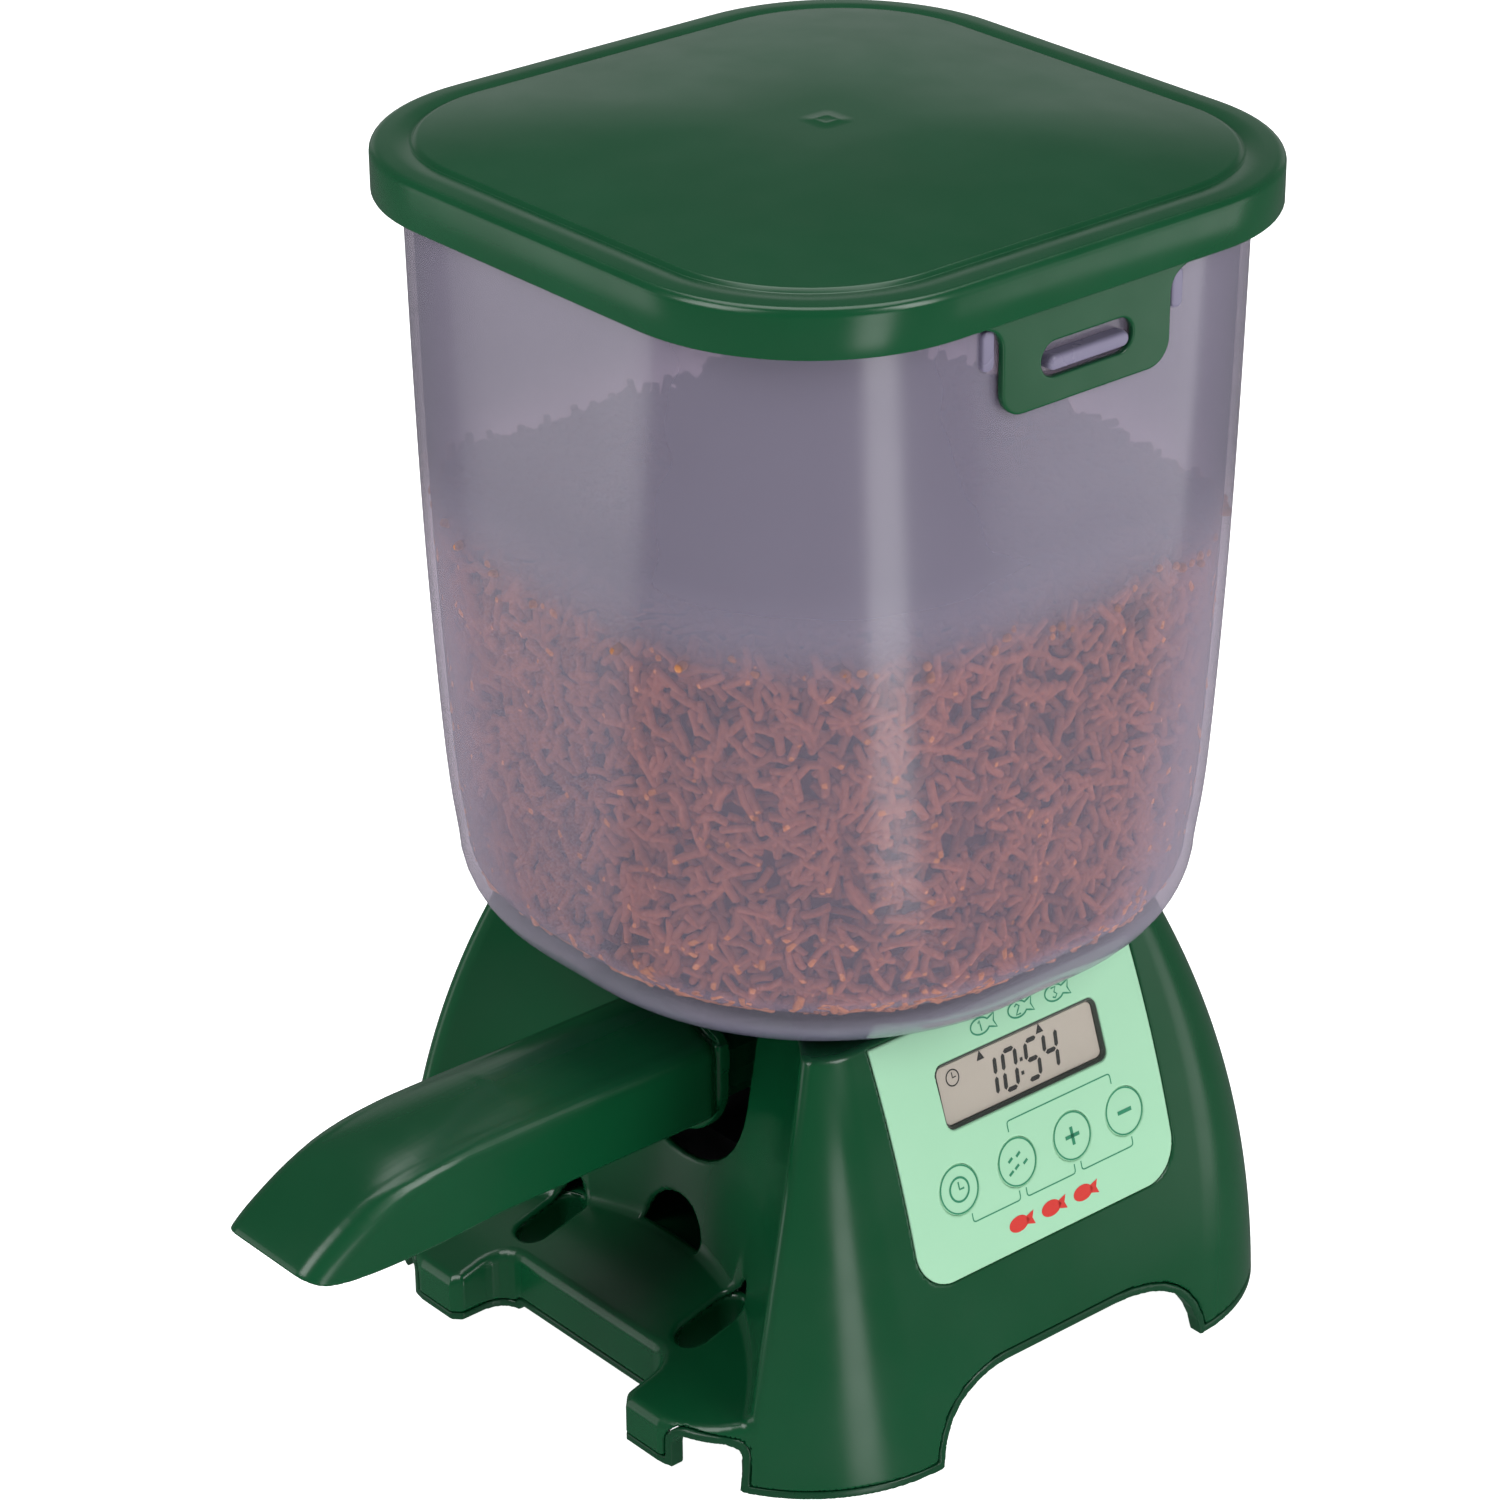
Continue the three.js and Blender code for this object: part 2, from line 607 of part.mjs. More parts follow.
// A blade on a shaft, drawn across the axis and twisted along it.
function auger_screw() {
  const blade = THREE.MathUtils.degToRad(42);
  const shape = new THREE.Shape();
  shape.absarc(0, 0, auger.radius, -blade / 2, blade / 2);
  shape.absarc(0, 0, auger.shaft, blade, 2 * Math.PI - blade);
  const length = auger.back - auger.front;
  const turns = length / auger.pitch;
  const options = { depth: length, steps: Math.round(turns * 8), bevelEnabled: false, curveSegments: 3 };
  const geometry = new THREE.ExtrudeGeometry(shape, options);
  const position = geometry.attributes.position;
  for (let i = 0; i < position.count; i += 1) {
    const along = position.getZ(i);
    const angle = (along / auger.pitch) * 2 * Math.PI;
    const x = position.getX(i);
    const y = position.getY(i);
    position.setX(i, x * Math.cos(angle) - y * Math.sin(angle));
    position.setY(i, x * Math.sin(angle) + y * Math.cos(angle));
  }
  geometry.rotateX(Math.PI / 2);
  geometry.translate(0, auger.back, tube.z);
  const tail = rod_y(auger.shaft - 0.5, auger.back - 1, tube.back + 0.6, 0, tube.z, 5);
  return join(solid(geometry), tail);
}

// ---- gear train --------------------------------------------------------------------

// The axle of a gear that meshes with one on another axle, in the direction given.
function beside(axle, teeth, other_teeth, degrees) {
  const distance = (gears.module * (teeth + other_teeth)) / 2;
  const angle = THREE.MathUtils.degToRad(degrees);
  return { x: axle.x + distance * Math.cos(angle), z: axle.z + distance * Math.sin(angle) };
}

const axle_2 = beside({ x: 0, z: tube.z }, gears.output, gears.small, axle_turns.second);
const axle_1 = beside(axle_2, gears.big, gears.small, axle_turns.first);
const axle_motor = beside(axle_1, gears.big, gears.small, axle_turns.motor);

function gear(teeth, y_low, y_high, x, z, first_turn = 0) {
  const pitch_radius = (gears.module * teeth) / 2;
  const tip = pitch_radius + gears.module * 0.8;
  const root = pitch_radius - gears.module * 1.15;
  const shape_points = [];
  for (let i = 0; i < teeth; i += 1) {
    for (const [part, radius] of [[-0.3, root], [-0.11, tip], [0.11, tip], [0.3, root]]) {
      const angle = ((i + part) / teeth) * 2 * Math.PI + first_turn;
      shape_points.push([x + radius * Math.cos(angle), z + radius * Math.sin(angle)]);
    }
  }
  return prism_y(outline(shape_points), y_low, y_high);
}

// The turn that puts a gap of one gear where a tooth of its neighbour points.
function mesh_turn(teeth, x, z, other_teeth, other_x, other_z, other_turn) {
  const to_other = Math.atan2(other_z - z, other_x - x);
  const other_phase = ((to_other + Math.PI - other_turn) / (2 * Math.PI)) * other_teeth;
  return to_other + ((other_phase + 0.5) / teeth) * 2 * Math.PI;
}

function gear_train() {
  const [layer_a, layer_b, layer_c] = gears.layers;
  const { thick, big, small, output } = gears;
  const bore = gears.pin_radius + 0.3;
  const turn_2 = mesh_turn(small, axle_2.x, axle_2.z, output, 0, tube.z, 0);
  const turn_1 = mesh_turn(small, axle_1.x, axle_1.z, big, axle_2.x, axle_2.z, turn_2);
  const turn_motor = mesh_turn(small, axle_motor.x, axle_motor.z, big, axle_1.x, axle_1.z, turn_1);
  const compound = (axle, y_big, y_small, turn) => cut(
    join(
      gear(big, y_big, y_big + thick, axle.x, axle.z, turn),
      gear(small, y_small - 1.2, y_small + thick, axle.x, axle.z, turn),
    ),
    rod_y(bore, 30, 60, axle.x, axle.z, 4),
  );
  const output_gear = join(
    gear(output, layer_c, layer_c + thick, 0, tube.z, 0),
    rod_y(4, gearbox.front - 3, layer_c + 0.5, 0, tube.z, 4),
  );
  const pinion = join(
    gear(small, layer_a, layer_a + thick, axle_motor.x, axle_motor.z, turn_motor),
    rod_y(1.2, motor.back + gap, layer_a + 0.5, axle_motor.x, axle_motor.z, 3),
  );
  return {
    output_gear,
    pinion,
    compound_2: compound(axle_2, layer_b, layer_c, turn_2),
    compound_1: compound(axle_1, layer_a, layer_b, turn_1),
    pin_2: rod_y(gears.pin_radius, gearbox.front + 2.4, gearbox.back - 2.4, axle_2.x, axle_2.z, 3),
    pin_1: rod_y(gears.pin_radius, gearbox.front + 2.4, gearbox.back - 2.4, axle_1.x, axle_1.z, 3),
  };
}

function gearbox_shape(by) {
  const { x_low, x_high, z_low, z_high, corner } = gearbox;
  return rounded(x_low + by, x_high - by, z_low + by, z_high - by, corner - by);
}

const gearbox_screws = [[-39, 48], [17, 48]];

function gearbox_case() {
  const { front, back } = gearbox;
  let shell = cut(
    prism_y(gearbox_shape(0), front + 2.2, back, 3),
    prism_y(gearbox_shape(gearbox.wall), front, back - 2, 3),
  );
  for (const [x, z] of gearbox_screws) {
    shell = join(shell, rod_y(3.4, front + 2.2, back - 1, x, z, 3));
    shell = cut(shell, rod_y(1.6, front, back - 6, x, z, 2));
  }
  return shell;
}

function gearbox_cover() {
  let cover = prism_y(gearbox_shape(0), gearbox.front, gearbox.front + 1.9, 3);
  cover = cut(cover, rod_y(4.4, 30, 40, 0, tube.z, 4));
  cover = cut(cover, rod_y(1.6, 30, 40, axle_motor.x, axle_motor.z, 3));
  for (const [x, z] of gearbox_screws) {
    cover = cut(cover, rod_y(1.6, 30, 40, x, z, 2));
  }
  return cover;
}

function gearbox_screw(x, z) {
  return join(
    rod_y(2.8, gearbox.front - 2, gearbox.front - gap, x, z, 3),
    rod_y(1.25, gearbox.front - 1, gearbox.back - 8, x, z, 2),
  );
}

// ---- batteries ---------------------------------------------------------------------

function battery_box() {
  const { half_x, half_y, y, floor, top, wall: thick } = battery;
  const outside = box(-half_x - thick, half_x + thick, y - half_y - thick, y + half_y + thick, floor, top);
  return cut(outside, box(-half_x, half_x, y - half_y, y + half_y, floor - 1, top - thick));
}

function cell_middle(index) {
  const row = index < 2 ? -1 : 1;
  const column_side = index % 2 === 0 ? -1 : 1;
  return { x: column_side * 26.6, y: battery.y + row * 13.8, z: 46.2, row };
}

function battery_cell(index) {
  const { x, y, z, row } = cell_middle(index);
  const section = circle(cell.radius, y, z);
  const body = prism_x(section, x - cell.length / 2, x + cell.length / 2, 6);
  const nub_x = x + (row * cell.length) / 2;
  const nub_end = nub_x + row * cell.button;
  const nub = prism_x(circle(3.2, y, z), Math.min(nub_x - 1, nub_end), Math.max(nub_x + 1, nub_end), 3);
  const nub_limit = battery.half_x - 1.5;
  return join(body, nub.intersect(box(-nub_limit, nub_limit, -60, 60, 0, 80)));
}

function battery_contact(index) {
  const { y, z } = cell_middle(index);
  const side = index % 2 === 0 ? -1 : 1;
  const back = side * (battery.half_x - 0.4);
  const front = side * (battery.half_x - 0.9);
  return box(Math.min(back, front), Math.max(back, front), y - 8, y + 8, z - 9, z + 9);
}

function battery_door() {
  const { top, thick, half_x, half_y } = door;
  const y = battery.y;
  const panel_plate = box(-half_x, half_x, y - half_y, y + half_y, top - thick, top);
  const grips = [0, 1, 2].map((i) => box(-14, 14, y - 22 + i * 4, y - 20.4 + i * 4, top - thick - 1, top - 1));
  return join(panel_plate, ...grips);
}

// ---- electronics -------------------------------------------------------------------

function circuit_board() {
  const { depth, thick, half_width, down, up } = board;
  return on_panel(box(-depth - thick, -depth, -half_width, half_width, down, up));
}

function key_switch(index) {
  const across = button_across[index];
  const front = -button.thick - button.travel - gap;
  return on_panel(box(gap - board.depth, front, across - 3, across + 3, button.up - 3, button.up + 3));
}

// ---- the assembly ------------------------------------------------------------------

add('base_housing', base_housing(), 'green');
add('lower_cover', lower_cover(), 'green');
[[1, 1], [1, -1], [-1, 1], [-1, -1]].forEach(([side_x, side_y], i) => {
  add(`cover_screw_${i + 1}`, cover_screw(side_x * boss.x, side_y * boss.y), 'steel');
});

add('hopper', hopper_body(), 'violet');
add('feed_pellets', feed_pellets(), 'pellet');
add('lid', lid_cover(), 'green');
add('latch_right', latch_tab(1), 'green');
add('latch_left', latch_tab(-1), 'green');

add('spout', spout_hood(), 'green');
add('feed_tube', feed_tube(), 'dark_green');
add('auger_screw', auger_screw(), 'nylon');
add('shaft_bush', cut(
  rod_y(auger.shaft + 1.6, tube.back - 2.2, tube.back, 0, tube.z, 5),
  rod_y(auger.shaft + 0.1, tube.back - 4, tube.back + 2, 0, tube.z, 5),
), 'nylon');

const train = gear_train();
add('output_gear', train.output_gear, 'nylon');
add('compound_gear_2', train.compound_2, 'nylon');
add('compound_gear_1', train.compound_1, 'nylon');
add('motor_pinion', train.pinion, 'steel');
add('gear_pin_1', train.pin_1, 'steel');
add('gear_pin_2', train.pin_2, 'steel');
add('gearbox_case', gearbox_case(), 'black');
add('gearbox_cover', gearbox_cover(), 'black');
gearbox_screws.forEach(([x, z], i) => {
  add(`gearbox_screw_${i + 1}`, gearbox_screw(x, z), 'steel');
});
add('motor', rod_y(motor.radius, motor.front, motor.back, axle_motor.x, axle_motor.z, 6), 'steel');

add('battery_box', battery_box(), 'black');
for (let i = 0; i < 4; i += 1) {
  add(`battery_cell_${i + 1}`, battery_cell(i), 'cell');
  add(`battery_contact_${i + 1}`, battery_contact(i), 'steel');
}
add('battery_door', battery_door(), 'dark_green');

const label_sheet = cut(base_column(0, 140), base_column(panel.thick, 145));
const label_shell = label_sheet.intersect(panel_prism(0, 40, 130));
let label = cut(label_shell, display_prism(0.3, -12, 12));
for (let i = 0; i < 4; i += 1) {
  label = cut(label, button_disc(i, button.radius + button.clearance, -12, 12));
}
add('panel_label', label, 'mint');
add('display_window', display_prism(0, -1.9, -0.9), 'lens');
add('display', display_prism(-1.6, -board.depth + gap, -2.4), 'crystal');
button_names.forEach((name, i) => {
  add(name, button_disc(i, button.radius, -button.thick, 0.1), 'mint');
  add(`key_switch_${i + 1}`, key_switch(i), 'black');
});
add('circuit_board', circuit_board(), 'board');

export default feeder;
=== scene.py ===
"""Looks of the automatic fish feeder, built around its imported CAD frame.

Shapes are drawn in millimetres about the tower's axis: x towards the panel, y away from the
spout, z up from the floor. make_piece turns them into the frame's metres.
"""

import math

import bpy
import numpy as np
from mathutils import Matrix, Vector


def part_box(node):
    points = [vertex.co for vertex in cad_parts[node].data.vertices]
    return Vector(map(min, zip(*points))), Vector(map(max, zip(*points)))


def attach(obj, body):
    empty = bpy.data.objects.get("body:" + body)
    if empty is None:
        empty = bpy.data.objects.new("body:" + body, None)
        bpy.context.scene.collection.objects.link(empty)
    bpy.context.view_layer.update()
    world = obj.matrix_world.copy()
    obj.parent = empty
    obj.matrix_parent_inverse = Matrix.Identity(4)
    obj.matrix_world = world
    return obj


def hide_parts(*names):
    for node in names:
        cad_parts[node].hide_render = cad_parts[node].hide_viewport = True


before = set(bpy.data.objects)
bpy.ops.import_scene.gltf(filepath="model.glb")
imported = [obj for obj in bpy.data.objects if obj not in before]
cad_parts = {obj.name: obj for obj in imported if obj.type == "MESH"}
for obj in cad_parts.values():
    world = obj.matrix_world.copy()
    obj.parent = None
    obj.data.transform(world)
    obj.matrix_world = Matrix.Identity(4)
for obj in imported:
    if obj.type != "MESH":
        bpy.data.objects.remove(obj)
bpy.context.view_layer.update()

MM = 0.001
lid_low, lid_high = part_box("lid")
AXIS_Y = (lid_low.y + lid_high.y) / 2
GAP = 0.35
WALL = 2.6


# ---- materials ---------------------------------------------------------------------


def new_material(name):
    material = bpy.data.materials.new(name)
    material.use_nodes = True
    tree = material.node_tree
    tree.nodes.clear()
    output = tree.nodes.new("ShaderNodeOutputMaterial")
    shader = tree.nodes.new("ShaderNodeBsdfPrincipled")
    tree.links.new(shader.outputs["BSDF"], output.inputs["Surface"])
    return material, tree, shader, output


def noise(tree, scale, detail=4.0, stretch=None):
    place = tree.nodes.new("ShaderNodeTexCoord")
    texture = tree.nodes.new("ShaderNodeTexNoise")
    texture.inputs["Scale"].default_value = scale
    texture.inputs["Detail"].default_value = detail
    source = place.outputs["Object"]
    if stretch:
        mapping = tree.nodes.new("ShaderNodeMapping")
        mapping.inputs["Scale"].default_value = stretch
        tree.links.new(source, mapping.inputs["Vector"])
        source = mapping.outputs["Vector"]
    tree.links.new(source, texture.inputs["Vector"])
    return texture.outputs["Fac"]


def ramp(tree, factor, low, high, start=0.3, end=0.7):
    """Colours or greys between low and high, as factor goes from start to end."""
    node = tree.nodes.new("ShaderNodeValToRGB")
    if not isinstance(low, tuple):
        low, high = (low,) * 3, (high,) * 3
    for stop, place, colour in zip(node.color_ramp.elements, (start, end), (low, high)):
        stop.position = place
        stop.color = (*colour, 1)
    tree.links.new(factor, node.inputs["Fac"])
    return node.outputs["Color"]


def add_bump(tree, shader, height, strength, distance=0.0002):
    bump = tree.nodes.new("ShaderNodeBump")
    bump.inputs["Strength"].default_value = strength
    bump.inputs["Distance"].default_value = distance
    tree.links.new(height, bump.inputs["Height"])
    tree.links.new(bump.outputs["Normal"], shader.inputs["Normal"])
    return bump


def moulded(name, low, high, rough=(0.2, 0.3), grain=900, bump=0.05, metal=0.0, coat=0.0, gloss=0.5):
    """Moulded plastic, or metal: slow drifts of colour, cloudy gloss and a fine surface grain."""
    material, tree, shader, _ = new_material(name)
    tree.links.new(ramp(tree, noise(tree, 14, 3), low, high), shader.inputs["Base Color"])
    tree.links.new(ramp(tree, noise(tree, 60, 5), rough[0], rough[1]), shader.inputs["Roughness"])
    shader.inputs["Metallic"].default_value = metal
    shader.inputs["Coat Weight"].default_value = coat
    shader.inputs["Specular IOR Level"].default_value = gloss
    add_bump(tree, shader, noise(tree, grain, 3), bump)
    return material


def brushed(name, low, high):
    """Metal drawn along its length."""
    material, tree, shader, _ = new_material(name)
    streaks = noise(tree, 500, 4, (1, 1, 0.06))
    tree.links.new(ramp(tree, streaks, low, high), shader.inputs["Base Color"])
    tree.links.new(ramp(tree, streaks, 0.2, 0.42), shader.inputs["Roughness"])
    shader.inputs["Metallic"].default_value = 1.0
    add_bump(tree, shader, streaks, 0.15)
    return material


def height_ramp(tree, low, high, start, end):
    """Colours or greys between low and high, by height above the floor in metres."""
    place = tree.nodes.new("ShaderNodeTexCoord")
    parts = tree.nodes.new("ShaderNodeSeparateXYZ")
    tree.links.new(place.outputs["Object"], parts.inputs["Vector"])
    colour = ramp(tree, parts.outputs["Z"], low, high, start, end)
    colour.node.color_ramp.interpolation = "EASE"
    return colour


def multiply(tree, first, second):
    node = tree.nodes.new("ShaderNodeMix")
    node.data_type = "RGBA"
    node.blend_type = "MULTIPLY"
    node.inputs["Factor"].default_value = 1.0
    tree.links.new(first, node.inputs[6])
    tree.links.new(second, node.inputs[7])
    return node.outputs[2]


def smoky(name):
    """See-through violet plastic: tinted and milkier seen edge on. Painted shade makes it darker and more
    opaque above the feed, in the empty part under the lid, and at its bottom, where it sits on the base.
    """
    material, tree, shader, output = new_material(name)
    haze_with_painted_shade = ramp(tree, noise(tree, 9, 3), (0.39, 0.355, 0.46), (0.43, 0.395, 0.51))
    # Painted shade: the haze colour darkens at the bottom, where the hopper sits on the base, and above the
    # feed, in the empty part under the lid.
    haze_with_painted_shade = multiply(tree, haze_with_painted_shade, height_ramp(tree, (0.34, 0.36, 0.42), (1.0, 1.0, 1.0), 0.139, 0.152))
    haze_with_painted_shade = multiply(tree, haze_with_painted_shade, height_ramp(tree, (1.0, 1.0, 1.0), (0.52, 0.52, 0.55), 0.255, 0.295))
    tree.links.new(haze_with_painted_shade, shader.inputs["Base Color"])
    tree.links.new(ramp(tree, noise(tree, 40, 4), 0.16, 0.24), shader.inputs["Roughness"])
    add_bump(tree, shader, noise(tree, 300, 2), 0.008)
    clear = tree.nodes.new("ShaderNodeBsdfTransparent")
    clear.inputs["Color"].default_value = (0.88, 0.81, 0.86, 1)
    edge = tree.nodes.new("ShaderNodeLayerWeight")
    edge.inputs["Blend"].default_value = 0.5
    share = ramp(tree, edge.outputs["Facing"], 0.165, 0.78, 0.36, 1.0)
    # Painted shade: the same two bands also make the wall more opaque, so the darkened haze shows there.
    for start, end, cover in ((0.258, 0.292, 0.80), (0.150, 0.143, 0.85)):
        painted_shade_band = tree.nodes.new("ShaderNodeMix")
        low, high = (0.0, cover) if start < end else (cover, 0.0)
        band = height_ramp(tree, low, high, min(start, end), max(start, end))
        tree.links.new(band, painted_shade_band.inputs["Factor"])
        tree.links.new(share, painted_shade_band.inputs["A"])
        painted_shade_band.inputs["B"].default_value = 0.72
        share = painted_shade_band.outputs["Result"]
    mix = tree.nodes.new("ShaderNodeMixShader")
    tree.links.new(share, mix.inputs["Fac"])
    tree.links.new(clear.outputs["BSDF"], mix.inputs[1])
    tree.links.new(shader.outputs["BSDF"], mix.inputs[2])
    gloss = tree.nodes.new("ShaderNodeBsdfGlossy")
    gloss.inputs["Roughness"].default_value = 0.2
    coated = tree.nodes.new("ShaderNodeMixShader")
    tree.links.new(ramp(tree, edge.outputs["Facing"], 0.035, 0.30, 0.3, 1.0), coated.inputs["Fac"])
    tree.links.new(mix.outputs["Shader"], coated.inputs[1])
    tree.links.new(gloss.outputs["BSDF"], coated.inputs[2])
    tree.links.new(coated.outputs["Shader"], output.inputs["Surface"])
    return material


def clear_lens(name):
    """The display's clear window."""
    material, tree, shader, output = new_material(name)
    tree.links.new(ramp(tree, noise(tree, 20, 2), 0.5, 0.56), shader.inputs["Base Color"])
    tree.links.new(ramp(tree, noise(tree, 200, 3), 0.05, 0.09), shader.inputs["Roughness"])
    clear = tree.nodes.new("ShaderNodeBsdfTransparent")
    edge = tree.nodes.new("ShaderNodeLayerWeight")
    edge.inputs["Blend"].default_value = 0.3
    mix = tree.nodes.new("ShaderNodeMixShader")
    tree.links.new(ramp(tree, edge.outputs["Facing"], 0.015, 0.3, 0.3, 1.0), mix.inputs["Fac"])
    tree.links.new(clear.outputs["BSDF"], mix.inputs[1])
    tree.links.new(shader.outputs["BSDF"], mix.inputs[2])
    tree.links.new(mix.outputs["Shader"], output.inputs["Surface"])
    return material


def feed_material(name, tinted):
    """Dry pressed feed: brown, grainy and matt. Tinted, each pellet is lighter or darker by its shade
    attribute, which holds a random tone and its layer's painted shade. Untinted, it is the dark brown
    painted shade of the packed core.
    """
    material, tree, shader, _ = new_material(name)
    grain = ramp(tree, noise(tree, 700, 6), (0.58, 0.215, 0.085), (0.78, 0.36, 0.16))
    if tinted:
        # The shade attribute holds each rod's random tone and the painted shade of its layer.
        own = tree.nodes.new("ShaderNodeAttribute")
        own.attribute_name = "shade"
        shade = ramp(tree, own.outputs["Fac"], (0.22, 0.17, 0.16), (1.0, 1.0, 1.0), 0.0, 1.0)
        grain = multiply(tree, grain, shade)
    else:
        # Painted shade: the packed core under the rods is dark brown and stands for the shade in the gaps
        # between pellets.
        grain = ramp(tree, noise(tree, 160, 5), (0.05, 0.018, 0.010), (0.16, 0.05, 0.025))
    tree.links.new(grain, shader.inputs["Base Color"])
    tree.links.new(ramp(tree, noise(tree, 500, 4), 0.7, 0.95), shader.inputs["Roughness"])
    shader.inputs["Specular IOR Level"].default_value = 0.25
    add_bump(tree, shader, noise(tree, 900, 5), 0.5, 0.0004)
    return material


def printed(name, low, high):
    return moulded(name, low, high, (0.35, 0.5), 1500, 0.04)


green = moulded("green_plastic", (0.0014, 0.056, 0.018), (0.0026, 0.066, 0.023), (0.20, 0.27), 700, 0.03)
deep_green = moulded("deep_green_plastic", (0.001, 0.034, 0.012), (0.002, 0.043, 0.016), (0.3, 0.42))
seam_green = moulded("cover_green_plastic", (0.001, 0.042, 0.014), (0.002, 0.050, 0.018), (0.25, 0.34))
violet = smoky("smoky_plastic")
pellet_look = feed_material("pellet_feed", True)
# The packed feed's dark brown is painted shade.
core_shade_look = feed_material("packed_feed_painted_shade", False)
mint = moulded("mint_film", (0.34, 0.64, 0.42), (0.37, 0.67, 0.45), (0.38, 0.5), 1400, 0.05)
ink = printed("green_ink", (0.012, 0.22, 0.105), (0.018, 0.26, 0.13))
red_ink = printed("red_ink", (0.60, 0.020, 0.012), (0.72, 0.032, 0.020))
crystal = moulded("liquid_crystal", (0.43, 0.385, 0.325), (0.47, 0.415, 0.355), (0.3, 0.4), 600, 0.02)
segment_ink = printed("display_segments", (0.006, 0.007, 0.006), (0.014, 0.015, 0.013))
lens = clear_lens("display_lens")
nylon = moulded("natural_nylon", (0.72, 0.69, 0.60), (0.80, 0.77, 0.68), (0.4, 0.55), 800, 0.12)
black = moulded("black_plastic", (0.010, 0.010, 0.011), (0.020, 0.020, 0.022), (0.4, 0.6), 800, 0.15)
steel = brushed("plated_steel", (0.46, 0.46, 0.47), (0.62, 0.62, 0.64))
board_look = moulded("circuit_board_resin", (0.010, 0.10, 0.035), (0.02, 0.16, 0.06), (0.3, 0.5), 300, 0.2)
cell_look = moulded(
    "cell_wrap", (0.014, 0.016, 0.02), (0.03, 0.034, 0.042), (0.2, 0.35), 500, 0.08, coat=0.4
)

NODE_LOOKS = {
    "cover_screw": steel, "feed_tube": deep_green, "auger_screw": nylon, "shaft_bush": nylon,
    "output_gear": nylon, "compound_gear": nylon, "motor_pinion": steel, "gear_pin": steel,
    "gearbox_case": black, "gearbox_cover": black, "gearbox_screw": steel, "motor": steel,
    "battery_box": black, "battery_cell": cell_look, "battery_contact": steel,
    "battery_door": deep_green, "key_switch": black, "circuit_board": board_look,
}


def paint_nodes():
    for name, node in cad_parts.items():
        looks = [key for key in NODE_LOOKS if name.startswith(key)]
        if looks:
            node.data.materials.clear()
            node.data.materials.append(NODE_LOOKS[max(looks, key=len)])


# ---- making pieces -----------------------------------------------------------------


def make_piece(name, points, faces, body, slot, material, replaces=(), normals=None, smooth=True):
    """A piece from points in millimetres about the tower's axis."""
    mesh = bpy.data.meshes.new(name)
    mesh.from_pydata(np.asarray(points, float) * MM + (0, AXIS_Y, 0), [], faces)
    mesh.materials.append(material)
    mesh.polygons.foreach_set("use_smooth", np.full(len(mesh.polygons), smooth))
    mesh.update()
    if normals is not None:
        mesh.normals_split_custom_set_from_vertices(normals)
    piece = bpy.data.objects.new(name, mesh)
    bpy.context.scene.collection.objects.link(piece)
    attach(piece, body)
    if replaces:
        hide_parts(*replaces)
    return piece


def field_slope(field, points, reach):
    """The field and its gradient at points."""
    slope = np.empty_like(points)
    for axis in range(3):
        shift = np.zeros(3)
        shift[axis] = reach
        ahead, behind = points + shift, points - shift
        slope[:, axis] = (field(*ahead.T) - field(*behind.T)) / (2 * reach)
    return field(*points.T), slope


def contour(field, low, high, cell):
    """The closed surface where field is zero: points, quads and normals, found on a grid."""
    low = np.array(low, float)
    cell = cell * 1.0
    counts = np.ceil((np.array(high) - low) / cell).astype(int) + 1
    x, y, z = (low[i] + cell * np.arange(counts[i]) for i in range(3))
    values = field(x[:, None, None], y[None, :, None], z[None, None, :])
    values = np.broadcast_to(values, counts).astype(np.float32)
    inside = values < 0
    rings, crossings = [], []
    for axis in range(3):
        step, across, along = (np.roll(np.eye(3, dtype=int)[0], axis + turn) for turn in range(3))
        before = tuple(slice(None, -1) if i == axis else slice(None) for i in range(3))
        after = tuple(slice(1, None) if i == axis else slice(None) for i in range(3))
        change = np.argwhere(inside[before] != inside[after])
        start = values[tuple(change.T)]
        end = values[tuple((change + step).T)]
        crossings.append(np.repeat(change + step * (start / (start - end))[:, None], 4, axis=0))
        ring = [change, change - across, change - across - along, change - along]
        ring = np.stack([np.ravel_multi_index(corner.T, counts, mode="clip") for corner in ring], 1)
        ring[start >= 0] = ring[start >= 0][:, ::-1]
        rings.append(ring)
    rings = np.concatenate(rings)
    crossings = np.concatenate(crossings)
    _, place = np.unique(rings.ravel(), return_inverse=True)
    number = np.bincount(place)
    points = np.stack([np.bincount(place, crossings[:, i]) / number for i in range(3)], 1)
    points = low + points * cell
    for _ in range(3):
        value, slope = field_slope(field, points, 0.15)
        size = np.maximum((slope**2).sum(1), 0.25)
        move = np.clip(value / size, -cell / 2, cell / 2)
        points -= slope * move[:, None]
    slope = field_slope(field, points, 0.25)[1]
    length = np.maximum(np.linalg.norm(slope, axis=1), 1e-6)
    return points, place.reshape(-1, 4), slope / length[:, None]


# ---- fields: distances in millimetres, negative inside -----------------------------


def both(a, b, fillet=0.0):
    if fillet == 0:
        return np.maximum(a, b)
    corner = np.hypot(np.maximum(a + fillet, 0), np.maximum(b + fillet, 0))
    return np.minimum(np.maximum(a, b), -fillet) + corner


def either(a, b, fillet=0.0):
    return -both(-a, -b, fillet)


def without(a, b, fillet=0.0):
    return both(a, -b, fillet)


def block(x, y, z, low, high):
    sides = [np.abs(p - (a + b) / 2) - (b - a) / 2 for p, a, b in zip((x, y, z), low, high)]
    return both(both(sides[0], sides[1]), sides[2])


def rounded_box(u, v, half_u, half_v, radius):
    past_u = np.abs(u) - (half_u - radius)
    past_v = np.abs(v) - (half_v - radius)
    outer = np.hypot(np.maximum(past_u, 0), np.maximum(past_v, 0))
    return outer + np.minimum(np.maximum(past_u, past_v), 0) - radius


